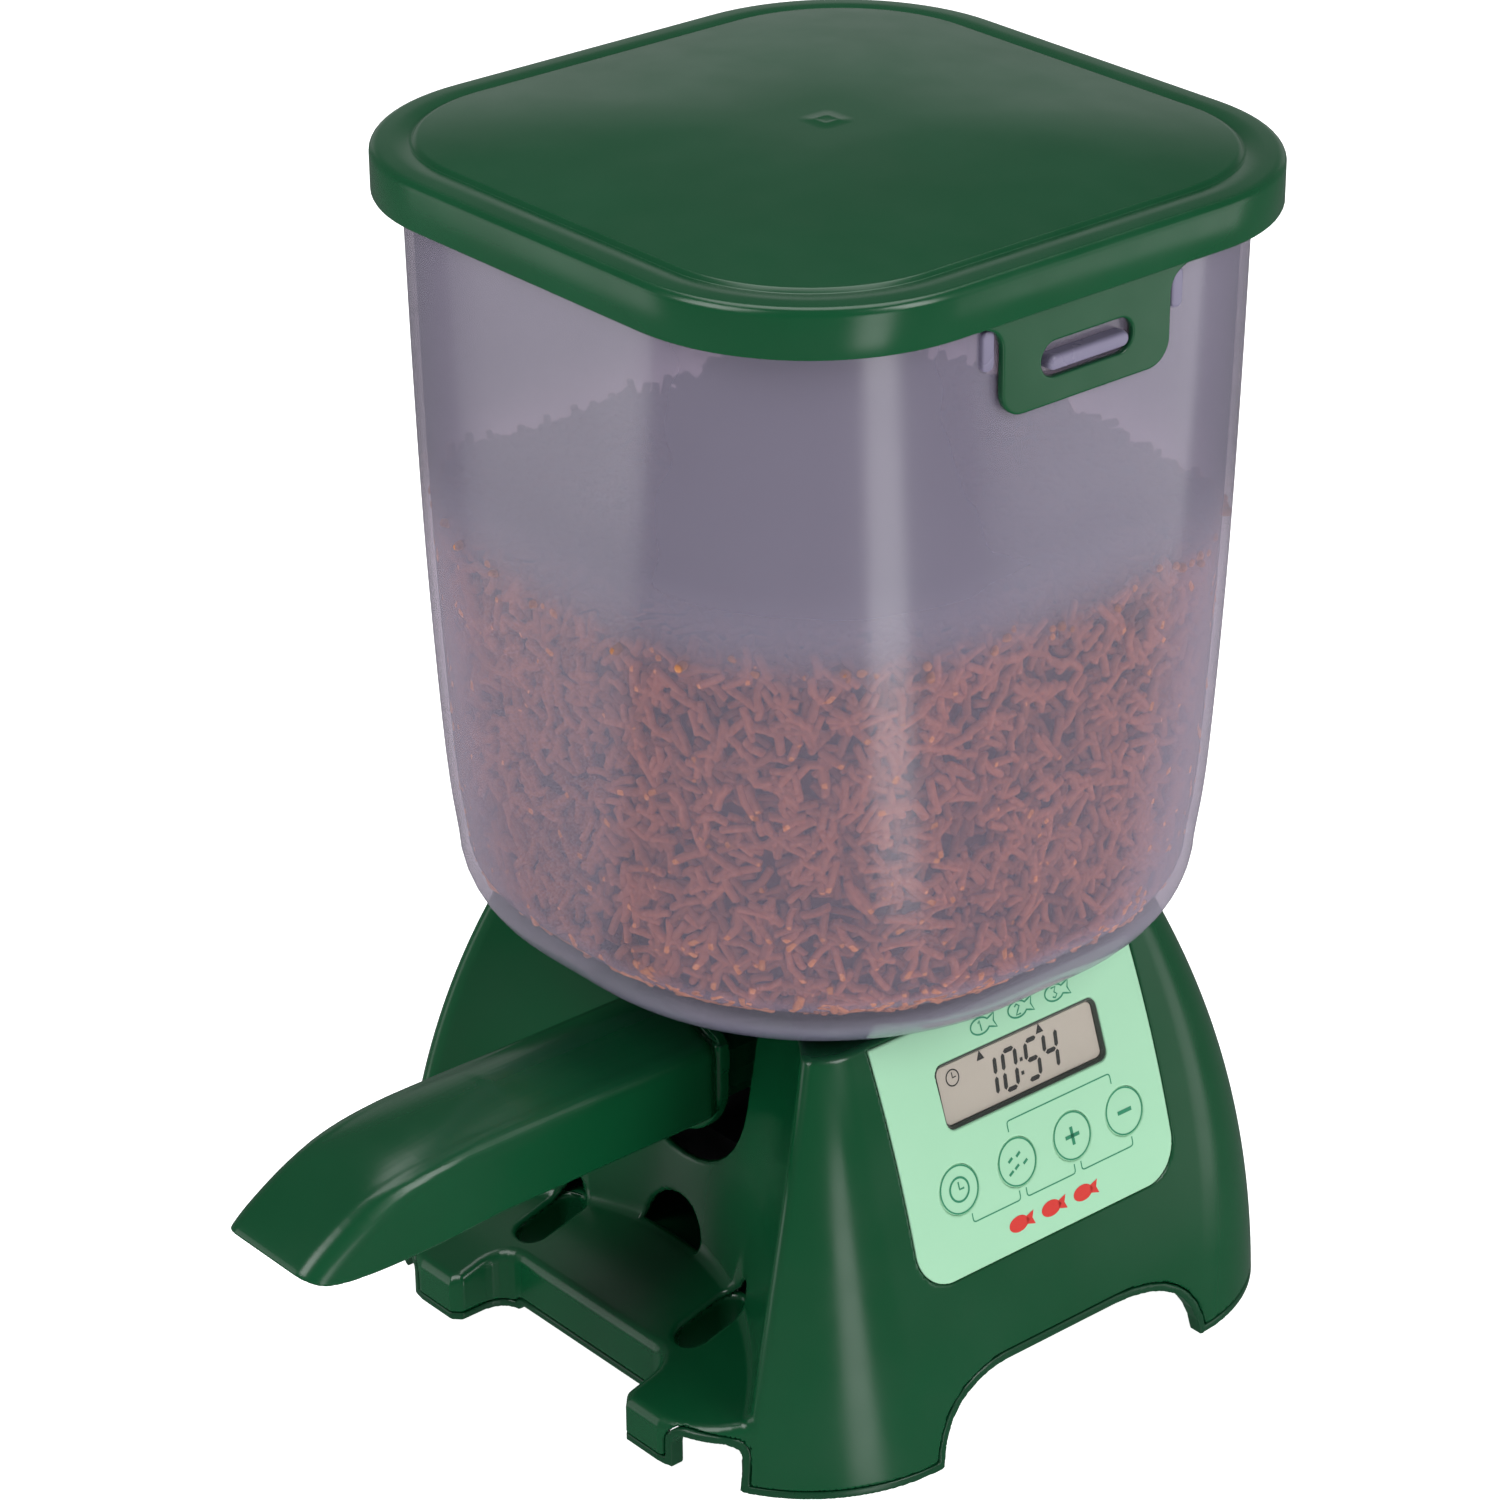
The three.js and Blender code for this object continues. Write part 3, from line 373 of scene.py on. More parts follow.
def outline_field(u, v, corners):
    """Distance to a closed outline."""
    shape = np.broadcast(u, v).shape
    nearest = np.full(shape, 1e9)
    inside = np.zeros(shape, bool)
    for (u0, v0), (u1, v1) in zip(corners, corners[1:] + corners[:1]):
        du, dv = u1 - u0, v1 - v0
        part = np.clip(((u - u0) * du + (v - v0) * dv) / (du * du + dv * dv), 0, 1)
        nearest = np.minimum(nearest, (u - u0 - part * du) ** 2 + (v - v0 - part * dv) ** 2)
        if v0 != v1:
            inside ^= ((v0 <= v) != (v1 <= v)) & (u < u0 + (v - v0) * du / dv)
    distance = np.sqrt(nearest)
    return np.where(inside, -distance, distance)


def arc(u, v, radius, start, end, steps):
    angles = np.radians(np.linspace(start, end, steps + 1))
    return [(u + radius * math.cos(a), v + radius * math.sin(a)) for a in angles]


def bend(start, control, end, steps=8):
    """The points of a quadratic curve after its start."""
    points = []
    for t in np.linspace(0, 1, steps + 1)[1:]:
        weights = ((1 - t) ** 2, 2 * t * (1 - t), t * t)
        points.append(tuple(sum(w * p[i] for w, p in zip(weights, (start, control, end))) for i in (0, 1)))
    return points


def smooth_through(points, steps):
    """A smooth line through points, with steps stretches between each two."""
    points = np.array(points, float)
    padded = np.concatenate([2 * points[:1] - points[1:2], points, 2 * points[-1:] - points[-2:-1]])
    made = []
    for a, b, c, d in zip(padded, padded[1:], padded[2:], padded[3:]):
        for t in np.arange(steps) / steps:
            made.append(0.5 * (2 * b + (c - a) * t + (2 * a - 5 * b + 4 * c - d) * t**2
                               + (3 * b - 3 * c + d - a) * t**3))
    made.append(points[-1])
    return np.array(made)


# ---- base --------------------------------------------------------------------------

BASE_HALF = 115.2
BASE_TOP = 132.7
ROOF = 4.0
RIM = 2.6
SKIRT_WALL = 2.2
POCKET_RADIUS = 110
PANEL = {"z": 95, "lean": math.radians(19.3), "y": 1.5, "low": 57, "high": 131, "half": 53.7, "middle": 0.2}
DISPLAY = {"half": 33.2, "low": 5.6, "high": 25.6, "corner": 3}
BUTTON = {"radius": 7.8, "up": -12.6}
BUTTONS = {"button_time": -34.2, "button_feed": -10.2, "button_plus": 12.9, "button_minus": 35.2}


def base_half(z):
    rise = z / 100
    return BASE_HALF - 11.72 * rise - 9.29 * rise**2 - 1.95 * rise**3


def tower(x, y, z):
    rise = z / 100
    slope = (11.72 + 18.58 * rise + 5.85 * rise**2) / 100
    half = base_half(z)
    return rounded_box(x, y, half, half, 59.9 - 0.307 * z) / np.sqrt(1 + slope**2)


def front_space(x, y, z):
    """The space in front of the curved wall that leans back."""
    wall_y = -64 + 0.178 * (z - 35)
    return np.hypot(x, y - wall_y + POCKET_RADIUS) - POCKET_RADIUS


def ledge_plan():
    leg_in, leg_out, front, notch_back, corner = 41, 61, -120, -100, 8
    right = arc(leg_in - corner, notch_back - corner, corner, 90, 0, 5)
    right += [(leg_in, front + 3), (leg_in + 3, front), (leg_out - 2, front)]
    right += bend((leg_out - 2, front), (78, front + 3), (86, -103))
    right += [(88, -50)]
    return right + [(-x, y) for x, y in reversed(right)]


LEDGE_PLAN = ledge_plan()
SIDE_ARCH = (
    [(-53, -10), (57, -10), (57, 0)] + bend((57, 0), (55, 24.2), (22, 25.2))
    + [(-25, 25.2)] + bend((-25, 25.2), (-51, 23.2), (-53, 0))
)
REAR_ARCH = (
    [(-55, -10), (55, -10), (55, 0)] + bend((55, 0), (53, 23.2), (27, 25.2))
    + [(-27, 25.2)] + bend((-27, 25.2), (-53, 23.2), (-55, 0))
)


def outside_of_base(x, y, z, ledge=True):
    body = without(tower(x, y, z), front_space(x, y, z), 4.0)
    if ledge:
        slope = (z - 34 - 0.2745 * (y + 66)) / 1.037
        shelf = both(outline_field(x, y, LEDGE_PLAN), slope, 3.2)
        body = either(body, shelf, 3.0)
    return body


def underside(x, y, z):
    """The arches and the room below the lower edge."""
    space = either(z, outline_field(y, z, SIDE_ARCH), 0.5)
    space = np.minimum(space, np.maximum(outline_field(x, z, REAR_ARCH), 40 - y))
    front = y + 68
    legs = np.maximum(np.maximum(np.abs(x) - 64, z - 4), front)
    notch = np.maximum(both(np.abs(x) - 34, z - 6, 2), front)
    arches = np.maximum(both(np.abs(np.abs(x) - 73.5) - 9.5, z - 16.5, 4.5), y + 84)
    return np.minimum(np.minimum(space, legs), np.minimum(notch, arches))


def panel_axes(x, y, z):
    """Out of, across and up the panel's own plane."""
    away = x - base_half(PANEL["z"])
    rise = z - PANEL["z"]
    c, s = math.cos(PANEL["lean"]), math.sin(PANEL["lean"])
    return away * c + rise * s, y - PANEL["y"], rise * c - away * s


def panel_edge(y, z):
    sides = np.abs(y - PANEL["middle"]) - PANEL["half"]
    return np.maximum(both(sides, PANEL["low"] - z, 13), z - PANEL["high"])


def display_edge(across, up):
    middle = (DISPLAY["low"] + DISPLAY["high"]) / 2
    tall = (DISPLAY["high"] - DISPLAY["low"]) / 2
    return rounded_box(across, up - middle, DISPLAY["half"], tall, DISPLAY["corner"])


def button_edge(across, up):
    nearest = None
    for place in BUTTONS.values():
        disc = np.hypot(across - place, up - BUTTON["up"]) - BUTTON["radius"]
        nearest = disc if nearest is None else np.minimum(nearest, disc)
    return nearest


def housing_field(x, y, z):
    outer = outside_of_base(x, y, z)
    shell = both(both(outer, z - BASE_TOP, 1.5), -np.maximum(outer + WALL, z - BASE_TOP + ROOF), 0.4)
    shell = both(shell, RIM + GAP - underside(x, y, z), 0.5)
    mouth = outline_field(x, z, arc(0, 90, 28.6, 180, 360, 16) + [(28.6, 119), (-28.6, 119)])
    shell = without(shell, np.maximum(mouth, np.abs(y + 60) - 20), 1.2)
    drain = outline_field(x, z, arc(0, 34, 13.5, 0, 180, 12))
    shell = without(shell, np.maximum(drain, np.abs(y + 65) - 15), 1.0)
    slots = np.hypot(np.abs(x) - 39.5, np.maximum(np.abs(y + 82) - 6.9, 0)) - 5.6
    sleeves = np.maximum(slots - 2.2, np.maximum(z - 32.5 - 0.2745 * (y + 66), 7 - z))
    shell = np.minimum(shell, sleeves)
    shell = without(shell, np.maximum(slots, np.abs(z - 33) - 30), 1.8)
    shell = without(shell, np.maximum(np.hypot(x, y) - 25.6, 120 - z), 0.6)
    recess = np.maximum(panel_edge(y, z) - 0.3, -1.25 - tower(x, y, z))
    shell = without(shell, np.maximum(recess, 60 - x), 0.5)
    out, across, up = panel_axes(x, y, z)
    holes = np.minimum(display_edge(across, up), button_edge(across, up)) - GAP
    return np.maximum(shell, -np.maximum(holes, np.abs(out) - 12))


def cover_field(x, y, z):
    skirt = WALL + GAP
    below = underside(x, y, z)
    inner = outside_of_base(x, y, z, ledge=False)
    tray = np.maximum(inner + skirt, z - 31.4)
    tray = np.maximum(tray, -np.maximum(inner + skirt + SKIRT_WALL, z - 29))
    outer = outside_of_base(x, y, z)
    lip = np.maximum(both(outer, below - RIM, 0.5), -(outer + skirt + SKIRT_WALL))
    cover = both(np.minimum(tray, lip), -below, 0.5)
    cover = np.maximum(cover, -block(x, y, z, (-54, -39.4, 27), (54, 13.4, 34)))
    cover = np.maximum(cover, 1.9 - np.hypot(np.abs(x) - 98, np.abs(y) - 44))
    rail = block(np.abs(x), y, z, (59.4, -47.4, 24.4), (61.8, 73.4, 29.5))
    hook = block(np.abs(x), y, z, (57.4, -47.4, 24.4), (60.6, 73.4, 26.0))
    return np.minimum(cover, np.minimum(rail, hook))


def make_base():
    low, high = (-117, -122.5, -1.5), (117, 117, 135)
    points, faces, normals = contour(housing_field, low, high, 1.0)
    make_piece("base_shell", points, faces, "base", "green_plastic", green, ["base_housing"], normals)
    points, faces, normals = contour(cover_field, low, (117, 117, 33), 0.8)
    make_piece("base_cover", points, faces, "base", "green_plastic", seam_green, ["lower_cover"], normals)


# ---- spout -------------------------------------------------------------------------

SPOUT_BACK = -62
TUBE_Z = 97


def hood_back(by):
    """The outline under the spout's long curved back, from above the flange down to its tip."""
    line = [(-140, 122.5), (-158, 119), (-178, 113.4), (-196, 106.2), (-209, 98.8)]
    line += [(-216, 93.6), (-218.6, 90.6)]
    curve = [(u + by * 2 * i / 24, v - by) for i, (u, v) in enumerate(smooth_through(line, 4))]
    start = [(SPOUT_BACK + 2, 50), (SPOUT_BACK + 2, 150 - by), (-140, 150 - by)]
    return start + curve + [(-219 + by * 2, 50)]


def hood_underside(by):
    """The outline above the spout's lower edge."""
    depth = 30 if by else 0
    lip = [(-218, 91.0), (-213, 88.6), (-204, 86.4), (-190, 85.4), (-170, 85.6), (-147, 87)]
    curve = [tuple(p) for p in smooth_through([(u, v - depth) for u, v in lip], 3)]
    return [(-50, 87 - depth), (-50, 150), (-240, 150), (-240, 91.0 - depth)] + curve


def hood_section(by):
    half, side_top = 22.4 - by, 111.6 - by * 0.6
    shoulder = (half - 6, side_top + 2.2)
    right = [(half, 50), (half, side_top - 5)]
    right += bend((half, side_top - 5), (half, side_top + 1), shoulder, 7)
    top = bend(shoulder, (0, 117.6 * 2 - shoulder[1] - by * 1.4), (-shoulder[0], shoulder[1]), 14)
    left = bend(top[-1], (-half, side_top + 1), (-half, side_top - 5), 7)
    return [(-half, 50)] + right + top + left


def hood_field(x, y, z):
    outer = both(outline_field(y, z, hood_back(0)), outline_field(x, z, hood_section(0)), 8.0)
    outer = both(outer, outline_field(y, z, hood_underside(0)), 0.7)
    outer = np.maximum(outer, y - SPOUT_BACK)
    inner = both(outline_field(y, z, hood_back(2)), outline_field(x, z, hood_section(2)), 6.5)
    inner = np.maximum(np.maximum(inner, outline_field(y, z, hood_underside(2))), y - SPOUT_BACK + 1)
    hood = without(outer, inner, 0.5)
    flange = np.maximum(np.hypot(x, np.minimum(z - 96, 0)) - 22.2, z - 111)
    flange = both(flange, np.abs(y - SPOUT_BACK - 1.2) - 2.2, 0.8)
    crown = np.maximum(outline_field(x, z, hood_section(0)), 101.6 - z)
    crown = np.maximum(crown, np.abs(y - SPOUT_BACK - 1.7) - 1.7)
    hood = either(hood, np.minimum(flange, crown), 1.0)
    passage = np.maximum(np.hypot(x, z - TUBE_Z) - 17.85, np.abs(y + 90) - 50)
    return without(hood, passage, 0.4)


def make_spout():
    points, faces, normals = contour(hood_field, (-24, -219.5, 66), (24, -55, 121), 0.8)
    make_piece("spout_shell", points, faces, "spout", "green_plastic", green, ["spout"], normals)


# ---- lid and latches ---------------------------------------------------------------


def square_ring(half, radius, z, corner_steps=20, side_steps=6):
    """A rounded square, anticlockwise."""
    points = []
    for quarter in range(4):
        turn = math.radians(90 * quarter)
        straight = half - radius
        for t in np.linspace(-1, 1, side_steps, endpoint=False):
            points.append((half, straight * t, turn))
        for a in np.linspace(0, math.pi / 2, corner_steps, endpoint=False):
            points.append((straight + radius * math.cos(a), straight + radius * math.sin(a), turn))
    return [
        (u * math.cos(t) - v * math.sin(t), u * math.sin(t) + v * math.cos(t), z) for u, v, t in points
    ]


def loft(rings, closed=False):
    """Quads between rings of as many points each. Closed joins the last ring to the first."""
    size = len(rings[0])
    points = [p for ring in rings for p in ring]
    pairs = list(zip(range(len(rings)), range(1, len(rings))))
    if closed:
        pairs.append((len(rings) - 1, 0))
    faces = []
    for low, high in pairs:
        for i in range(size):
            j = (i + 1) % size
            faces.append((low * size + i, low * size + j, high * size + j, high * size + i))
    if not closed:
        faces.append(tuple(reversed(range(size))))
        faces.append(tuple(range((len(rings) - 1) * size, len(rings) * size)))
    return points, faces


LID = {"bottom": 366.7, "top": 381.7, "half": 112.5, "radius": 61.7, "wall": 2.4, "step": 13.4}


def dome_height(inset):
    """The lid's height above its flat edge, at a distance in from its outside."""
    part = np.clip((inset - LID["step"]) / 82.0, 0, 1)
    return 0.75 + 5.65 * (1 - (1 - part) ** 1.75)


def lid_rings():
    half, radius, top, bottom = LID["half"], LID["radius"], LID["top"], LID["bottom"]
    rings = []

    def ring(inset, z):
        rings.append(square_ring(half - inset, max(radius - inset, (half - inset) * 0.45), z))

    wall = LID["wall"]
    for inset, drop in ((95, 9), (60, 7), (30, 4.5), (14, 4.2), (6, 4)):
        ring(inset + wall, top + dome_height(inset) - drop)
    for a in np.linspace(0, math.pi / 2, 4):
        ring(wall + 1.5 * (1 - math.sin(a)), top - 4.4 + 1.5 * math.cos(a) - 1.5)
    ring(wall, bottom + 0.6)
    for a in np.linspace(0, math.pi, 6):
        middle = wall / 2
        ring(middle + middle * math.cos(a), bottom + 0.8 - 0.8 * math.sin(a))
    for a in np.linspace(0, math.pi / 2, 9):
        ring(2.8 * (1 - math.cos(a)), top - 2.8 + 2.8 * math.sin(a))
    step = LID["step"]
    groove = [(step - 2.4, 0.1), (step - 1.8, -0.25), (step - 1.2, -0.4), (step - 0.6, -0.2)]
    for inset, rise in [(6, 0.12)] + groove:
        ring(inset, top + rise)
    for inset in np.concatenate([np.linspace(step, step + 3, 4), np.linspace(step + 6, 109, 26)]):
        ring(inset, top + dome_height(inset))
    gate = 0.12
    for inset, rise in ((109.3, gate), (110.2, gate), (110.6, 0.05), (111.6, 0.0)):
        ring(inset, top + dome_height(109) + rise)
    return rings


def latch_outline():
    top, half_top, half, bottom, corner = 367.0, 41.0, 32.5, 337.2, 8.0
    right = [(half_top, top), (half_top, top - 1)]
    right += bend((half_top, top - 1), (half, top - 2), (half, top - 9.3))
    right += arc(half - corner, bottom + corner, corner, 0, -90, 8)
    return right + [(-u, v) for u, v in reversed(right)]


LATCH_OUTLINE = latch_outline()


def latch_field(x, y, z):
    tab = both(outline_field(y, z, LATCH_OUTLINE), np.abs(x - 109.1) - 1.1, 0.5)
    window = rounded_box(y, z - 350.5, 17.6, 5.3, 5.25)
    return without(tab, window, 0.6)


def make_lid():
    points, faces = loft(lid_rings())
    make_piece("lid_shell", points, faces, "lid", "green_plastic", green, ["lid"])
    points, faces, normals = contour(latch_field, (107, -43, 335.8), (111.4, 43, 368), 0.45)
    for name, side in (("latch_right", 1), ("latch_left", -1)):
        turn = (side, side, 1)
        make_piece(
            name + "_tab", points * turn, faces, name, "green_plastic", green, [name], normals * turn
        )


# ---- hopper ------------------------------------------------------------------------

HOPPER = {
    "bottom": 133.1, "fillet": 31.0, "wall": 2.8, "neck": 24, "neck_wall": 2.4, "neck_end": 123,
    "rim": 377,
}
# Height, half width and corner radius of each section
HOPPER_SECTIONS = [
    (160.8, 109, 96), (188, 108.6, 86.7), (248, 108.5, 78), (307, 108.0, 71.6), (372, 107.0, 65),
]
CLEAR_BOTTOM = 144.0
hopper_line = smooth_through(HOPPER_SECTIONS, 8)


def hopper_at(z, by=0.0):
    """Half width and corner radius of the hopper at a height above its bottom fillet."""
    half = np.interp(z, hopper_line[:, 0], hopper_line[:, 1])
    radius = np.interp(z, hopper_line[:, 0], hopper_line[:, 2])
    return half - by, radius - by


def fillet_sections(by, low, steps=12):
    """Sections of the rounded bottom, from its flat middle up to the wall."""
    first_z, first_half, first_radius = HOPPER_SECTIONS[0]
    made = []
    for a in np.linspace(0, math.pi / 2, steps, endpoint=False):
        pull = HOPPER["fillet"] - (HOPPER["fillet"] - by) * math.sin(a)
        made.append((first_z - (first_z - low) * math.cos(a), first_half - pull, first_radius - pull))
    return made


def hopper_rings():
    neck, neck_in = HOPPER["neck"], HOPPER["neck"] - HOPPER["neck_wall"]
    bottom, rim, wall = HOPPER["bottom"], HOPPER["rim"], HOPPER["wall"]
    heights = hopper_line[:, 0]
    outer = [(z, *hopper_at(z)) for z in heights]
    inner = [(z, *hopper_at(z, wall)) for z in heights]
    lip = [(372.6, 107.3, 65.3), (rim - 0.7, 107.3, 65.3), (rim, 106.7, 64.7), (rim, 104.9, 62.9)]
    path = [(HOPPER["neck_end"], neck, neck), (bottom - 3, neck, neck)]
    path += [(bottom - 0.8, neck + 0.6, neck + 0.6), (bottom, neck + 3, neck + 3)]
    path += [(bottom, 40, 38), (bottom, 62, 55)]
    path += fillet_sections(0, bottom) + outer + lip
    path += list(reversed(inner)) + list(reversed(fillet_sections(wall, CLEAR_BOTTOM)))
    path += [(CLEAR_BOTTOM - 1.5, 60, 52), (CLEAR_BOTTOM - 4, 38, 36)]
    path += [(bottom + 3.2, neck_in + 2, neck_in + 2)]
    path += [(bottom + 1.5, neck_in, neck_in), (HOPPER["neck_end"], neck_in, neck_in)]
    return [square_ring(half, min(radius, half * 0.999), z) for z, half, radius in path]


def lug_field(x, y, z):
    """The bar that a latch snaps over, with bevelled edges, and the two pads that guide its tab."""
    bar = rounded_box(y, z - 349.7, 15.4, 2.3, 2.2)
    bar = both(bar, np.abs(x - 108.6) - 2.8, 1.3)
    pad = rounded_box(np.abs(y) - 36.4, z - 358.5, 2.2, 6.0, 1.9)
    return np.minimum(bar, both(pad, np.abs(x - 107.3) - 1.5, 0.7))


def make_hopper():
    points, faces = loft(hopper_rings(), closed=True)
    make_piece("hopper_shell", points, faces, "hopper", "smoky_plastic", violet, ["hopper"])
    points, faces, normals = contour(lug_field, (105, -46, 346), (112.5, 46, 366), 0.45)
    for name, side in (("lug_right", 1), ("lug_left", -1)):
        turn = (side, side, 1)
        make_piece(
            name, points * turn, faces, "hopper", "smoky_plastic", lug_look, (), normals * turn
        )


lug_look = moulded("violet_lug_plastic", (0.17, 0.155, 0.235), (0.20, 0.18, 0.27), (0.22, 0.32), 600, 0.05)


# ---- feed --------------------------------------------------------------------------

FEED_TOP = 268.0
PELLET_RADIUS = 1.35


def feed_level(x, y):
    """The feed's uneven surface."""
    waves = 3.0 * np.sin(x / 31 + 0.6) * np.cos(y / 27) + 1.8 * np.sin((x - 2 * y) / 19)
    return FEED_TOP + waves


def wall_spots(count, deep, dice):
    """Spots just inside the hopper's wall, with the directions along, up and into the feed."""
    z = dice.uniform(CLEAR_BOTTOM + 2.2, FEED_TOP + 4, count)
    around = dice.uniform(0, 8, count)
    line = fillet_sections(HOPPER["wall"], CLEAR_BOTTOM)
    line += [(s, *hopper_at(s, HOPPER["wall"])) for s in hopper_line[:, 0]]
    line = np.array(line)
    half = np.interp(z, line[:, 0], line[:, 1]) - deep
    radius = np.interp(z, line[:, 0], line[:, 2]) - deep
    quarter = np.floor(around / 2)
    part = around / 2 - quarter
    side = half - radius
    straight_share = side / (side + radius * math.pi / 4)
    on_side = part < straight_share
    bent_share = np.maximum(1 - straight_share, 1e-3)
    angle = np.where(on_side, 0.0, (part - straight_share) / bent_share * math.pi / 2)
    u = np.where(on_side, half, side + radius * np.cos(angle))
    v = np.where(on_side, side * (2 * part / straight_share - 1), side + radius * np.sin(angle))
    turn = quarter * math.pi / 2
    x = u * np.cos(turn) - v * np.sin(turn)
    y = u * np.sin(turn) + v * np.cos(turn)
    facing = angle + turn
    slope = np.interp(z, line[:, 0], np.gradient(line[:, 1], line[:, 0]))
    out = np.stack([np.cos(facing), np.sin(facing), -slope], 1)
    out /= np.linalg.norm(out, axis=1)[:, None]
    along = np.stack([-np.sin(facing), np.cos(facing), 0 * facing], 1)
    keep = z < feed_level(x, y)
    return np.stack([x, y, z], 1)[keep], along[keep], np.cross(out, along)[keep], out[keep]


def top_spots(count, dice):
    half, radius = hopper_at(FEED_TOP, HOPPER["wall"] + 2.2)
    x, y = dice.uniform(-half, half, (2, count))
    keep = rounded_box(x, y, half, half, radius) < 0
    x, y = x[keep], y[keep]
    z = feed_level(x, y) - dice.uniform(0, 3.2, len(x))
    flat = [np.tile(direction, (len(x), 1)) for direction in np.eye(3)]
    return np.stack([x, y, z], 1), *flat


def pellet_mesh(centre, along, up, out, dice, tilt, painted_layer_shade):
    """Short bent rods that lie about in the plane of along and up. Each is a little lighter or darker at
    random around its batch's painted layer shade.
    """
    count = len(centre)
    turn = dice.uniform(0, math.pi, count)[:, None]
    lean = dice.normal(0, tilt, count)[:, None]
    axis = along * np.cos(turn) + up * np.sin(turn)
    axis = axis * np.cos(lean) + out * np.sin(lean)
    side = np.cross(out, axis)
    side /= np.linalg.norm(side, axis=1)[:, None]
    face = np.cross(axis, side)
    length = dice.uniform(6.0, 12.5, count)[:, None]
    curve = dice.normal(0, 0.9, count)[:, None]
    thick = PELLET_RADIUS * dice.uniform(0.85, 1.12, count)[:, None]
    rings, sides = (-1, -0.9, 0, 0.9, 1), 6
    points = []
    for s in rings:
        spine = centre + axis * (s * length / 2) + side * curve * (s * s - 0.4)
        reach = thick * (0.72 if abs(s) == 1 else 1.0)
        for k in range(sides):
            a = 2 * math.pi * k / sides
            points.append(spine + reach * (side * math.cos(a) + face * math.sin(a)))
    points = np.stack(points, 1).reshape(-1, 3)
    per = len(rings) * sides
    quads = [
        (r * sides + k, r * sides + (k + 1) % sides, (r + 1) * sides + (k + 1) % sides, (r + 1) * sides + k)
        for r in range(len(rings) - 1) for k in range(sides)
    ]
    caps = [(0, 3, 2, 1), (0, 5, 4, 3)]
    end = (len(rings) - 1) * sides
    caps += [(end, end + 1, end + 2, end + 3), (end, end + 3, end + 4, end + 5)]
    faces = (np.array(quads + caps)[None] + (np.arange(count) * per)[:, None, None]).reshape(-1, 4)
    # Each rod's shade: a random spread around the batch's mean, which is painted shade set by the layer's
    # depth.
    shade = np.repeat(np.clip(dice.normal(painted_layer_shade, 0.14, count), 0, 1), per)
    return points, faces, shade


def make_feed():
    dice = np.random.default_rng(7)
    # Painted shade: the deeper second layer of rods is darker (0.42) than the layer against the wall (0.82),
    # and the top layer gets 0.6.
    batches = [
        pellet_mesh(*wall_spots(3300, PELLET_RADIUS + 0.25, dice), dice, 0.05, 0.82),
        pellet_mesh(*wall_spots(4600, PELLET_RADIUS * 2.6, dice), dice, 0.2, 0.42),
        pellet_mesh(*top_spots(4200, dice), dice, 0.25, 0.6),
    ]
    points, faces, shades, start = [], [], [], 0
    for batch_points, batch_faces, shade in batches:
        points.append(batch_points)
        faces.append(batch_faces + start)
        shades.append(shade)
        start += len(batch_points)
    rods = make_piece("feed_rods", np.concatenate(points), np.concatenate(faces), "hopper", "feed",
                      pellet_look, ["feed_pellets"])
    shade = rods.data.attributes.new("shade", "FLOAT", "POINT")
    shade.data.foreach_set("value", np.concatenate(shades).astype(np.float32))
    # The core under the rods is dark with painted shade and shows through the gaps between them.
    inset = HOPPER["wall"] + 5.2
    sections = [(z + 2.5, half - 3, radius - 3) for z, half, radius in fillet_sections(inset, CLEAR_BOTTOM)]
    sections += [(z, *hopper_at(z, inset)) for z in hopper_line[:, 0] if z < FEED_TOP - 12]
    for drop, further in ((7, 1), (5, 6)):
        sections.append((FEED_TOP - drop, *hopper_at(FEED_TOP, inset + further)))
    core = loft([square_ring(half, radius, z) for z, half, radius in sections])
    make_piece("feed_core", *core, "hopper", "feed", core_shade_look)


# ---- panel, display and buttons ----------------------------------------------------

FILM_OUT = -0.15


def label_piece():
    """The printed film: drawn flat as depth, across and height, then laid on the tower's side."""

    def film(depth, y, z):
        x = base_half(z) + depth
        _, across, up = panel_axes(x, y, z)
        sheet = both(panel_edge(y, z), np.abs(depth - FILM_OUT + 0.5) - 0.5, 0.25)
        holes = np.minimum(display_edge(across, up) - 0.3, button_edge(across, up) - 0.12)
        return np.maximum(sheet, -holes)

    points, faces, _ = contour(film, (-2, -55.5, 55), (0.9, 55.8, 132.2), 0.5)
    points[:, 0] += base_half(points[:, 2])
    make_piece("label_film", points, faces, "base", "label", mint, ["panel_label"])


def on_film(across, up, lift=0.05):
    """A point of the film's surface, from its place across and up the panel."""
    y = across + PANEL["y"]
    c, s = math.cos(PANEL["lean"]), math.sin(PANEL["lean"])
    z = PANEL["z"] + up * c
    for _ in range(6):
        away = base_half(z) + FILM_OUT - base_half(PANEL["z"])
        z = PANEL["z"] + (up + away * s) / c
    return base_half(z) + FILM_OUT + lift, y, z


def on_plane(across, up, out):
    """A point of a flat plane in the panel, such as the display's."""
    c, s = math.cos(PANEL["lean"]), math.sin(PANEL["lean"])
    return base_half(PANEL["z"]) + out * c - up * s, across + PANEL["y"], PANEL["z"] + up * c + out * s


